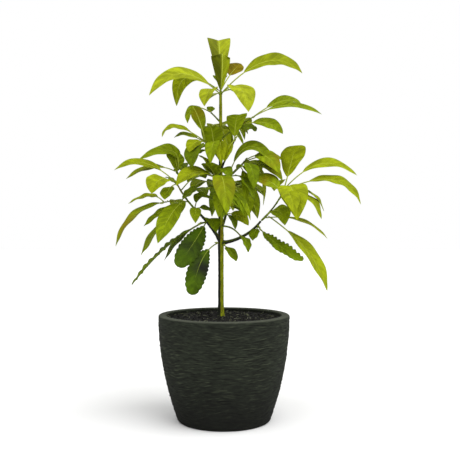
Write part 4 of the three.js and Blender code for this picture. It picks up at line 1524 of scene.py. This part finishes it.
# ---- studio --------------------------------------------------------------------------------
@dataclass
class Studio:
    """A pale floor, a white surround, soft lamps and the camera.

    `focal` is the lens's focal length and `picture` the picture's width, both in pixels.
    """

    focal: float = 705.0
    picture: float = 460.0
    sensor: float = 36.0
    eye: tuple[float, float, float] = (0.0137, -1.614, 0.4326)
    floor: float = 14.0
    sky: float = 0.66

    def build(self) -> None:
        """Makes the floor, the surround, the lamps and the camera."""
        bm = bmesh.new()
        bmesh.ops.create_circle(bm, cap_ends=True, segments=96, radius=self.floor)
        data = bpy.data.meshes.new("floor")
        bm.to_mesh(data)
        bm.free()
        data.materials.append(FloorFinish("floor_pale").material())
        ground = bpy.data.objects.new("floor", data)
        bpy.context.scene.collection.objects.link(ground)
        self.surround()
        self.sun("key", 56.0, 52.0, 62.0, 2.2)
        self.sun("fill", -44.0, 50.0, 60.0, 0.65)
        camera = bpy.data.cameras.new("camera")
        camera.lens = self.sensor * self.focal / self.picture
        camera.sensor_width = self.sensor
        holder = bpy.data.objects.new("camera", camera)
        holder.location = self.eye
        holder.rotation_euler = (math.pi / 2, 0.0, 0.0)
        bpy.context.scene.collection.objects.link(holder)
        bpy.context.scene.camera = holder
        bpy.context.scene.view_settings.view_transform = "Standard"

    def surround(self) -> None:
        """A white surround that is seen at full strength and lights at a lower one."""
        world = bpy.data.worlds.new("surround")
        tree = Tree(world)
        seen = tree.node("ShaderNodeLightPath").outputs["Is Camera Ray"]
        soft = tree.node("ShaderNodeBackground", None, {0: (1.0, 1.0, 0.99), 1: self.sky})
        white = tree.node("ShaderNodeBackground", None, {0: (1.0, 1.0, 1.0), 1: 1.0})
        both = tree.node("ShaderNodeMixShader", None, {
            0: seen, 1: soft.outputs[0], 2: white.outputs[0]})
        tree.node("ShaderNodeOutputWorld", None, {0: both.outputs[0]})
        bpy.context.scene.world = world

    @staticmethod
    def sun(name: str, azimuth: float, height: float, spread: float, power: float) -> None:
        """One broad soft light that falls evenly over floor and tree.

        Args:
            name: its name.
            azimuth: where it stands, in degrees to the right of the camera.
            height: how high it stands, in degrees.
            spread: how broad it is, in degrees.
            power: its strength.
        """
        light = bpy.data.lights.new(name, "SUN")
        light.angle, light.energy = math.radians(spread), power
        made = bpy.data.objects.new(name, light)
        a, e = math.radians(azimuth), math.radians(height)
        towards = Vector((math.sin(a) * math.cos(e), -math.cos(a) * math.cos(e), math.sin(e)))
        made.rotation_euler = (-towards).to_track_quat("-Z", "Y").to_euler()
        bpy.context.scene.collection.objects.link(made)


def main() -> None:
    """Builds every sub-assembly in order and reports each piece."""
    logging.basicConfig(level=logging.INFO, format="%(name)s: %(message)s")
    pot = Pot()
    pot.build()
    Soil(pot).build()
    trunk = Trunk()
    trunk.build()
    boughs = Boughs(trunk)
    boughs.build()
    growth = Growth(trunk, boughs)
    growth.grow()
    LOG.info("%d leaves stand", len(growth.standing))
    Foliage(growth).build()
    Studio().build()
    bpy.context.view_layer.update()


if __name__ == "__main__":
    main()
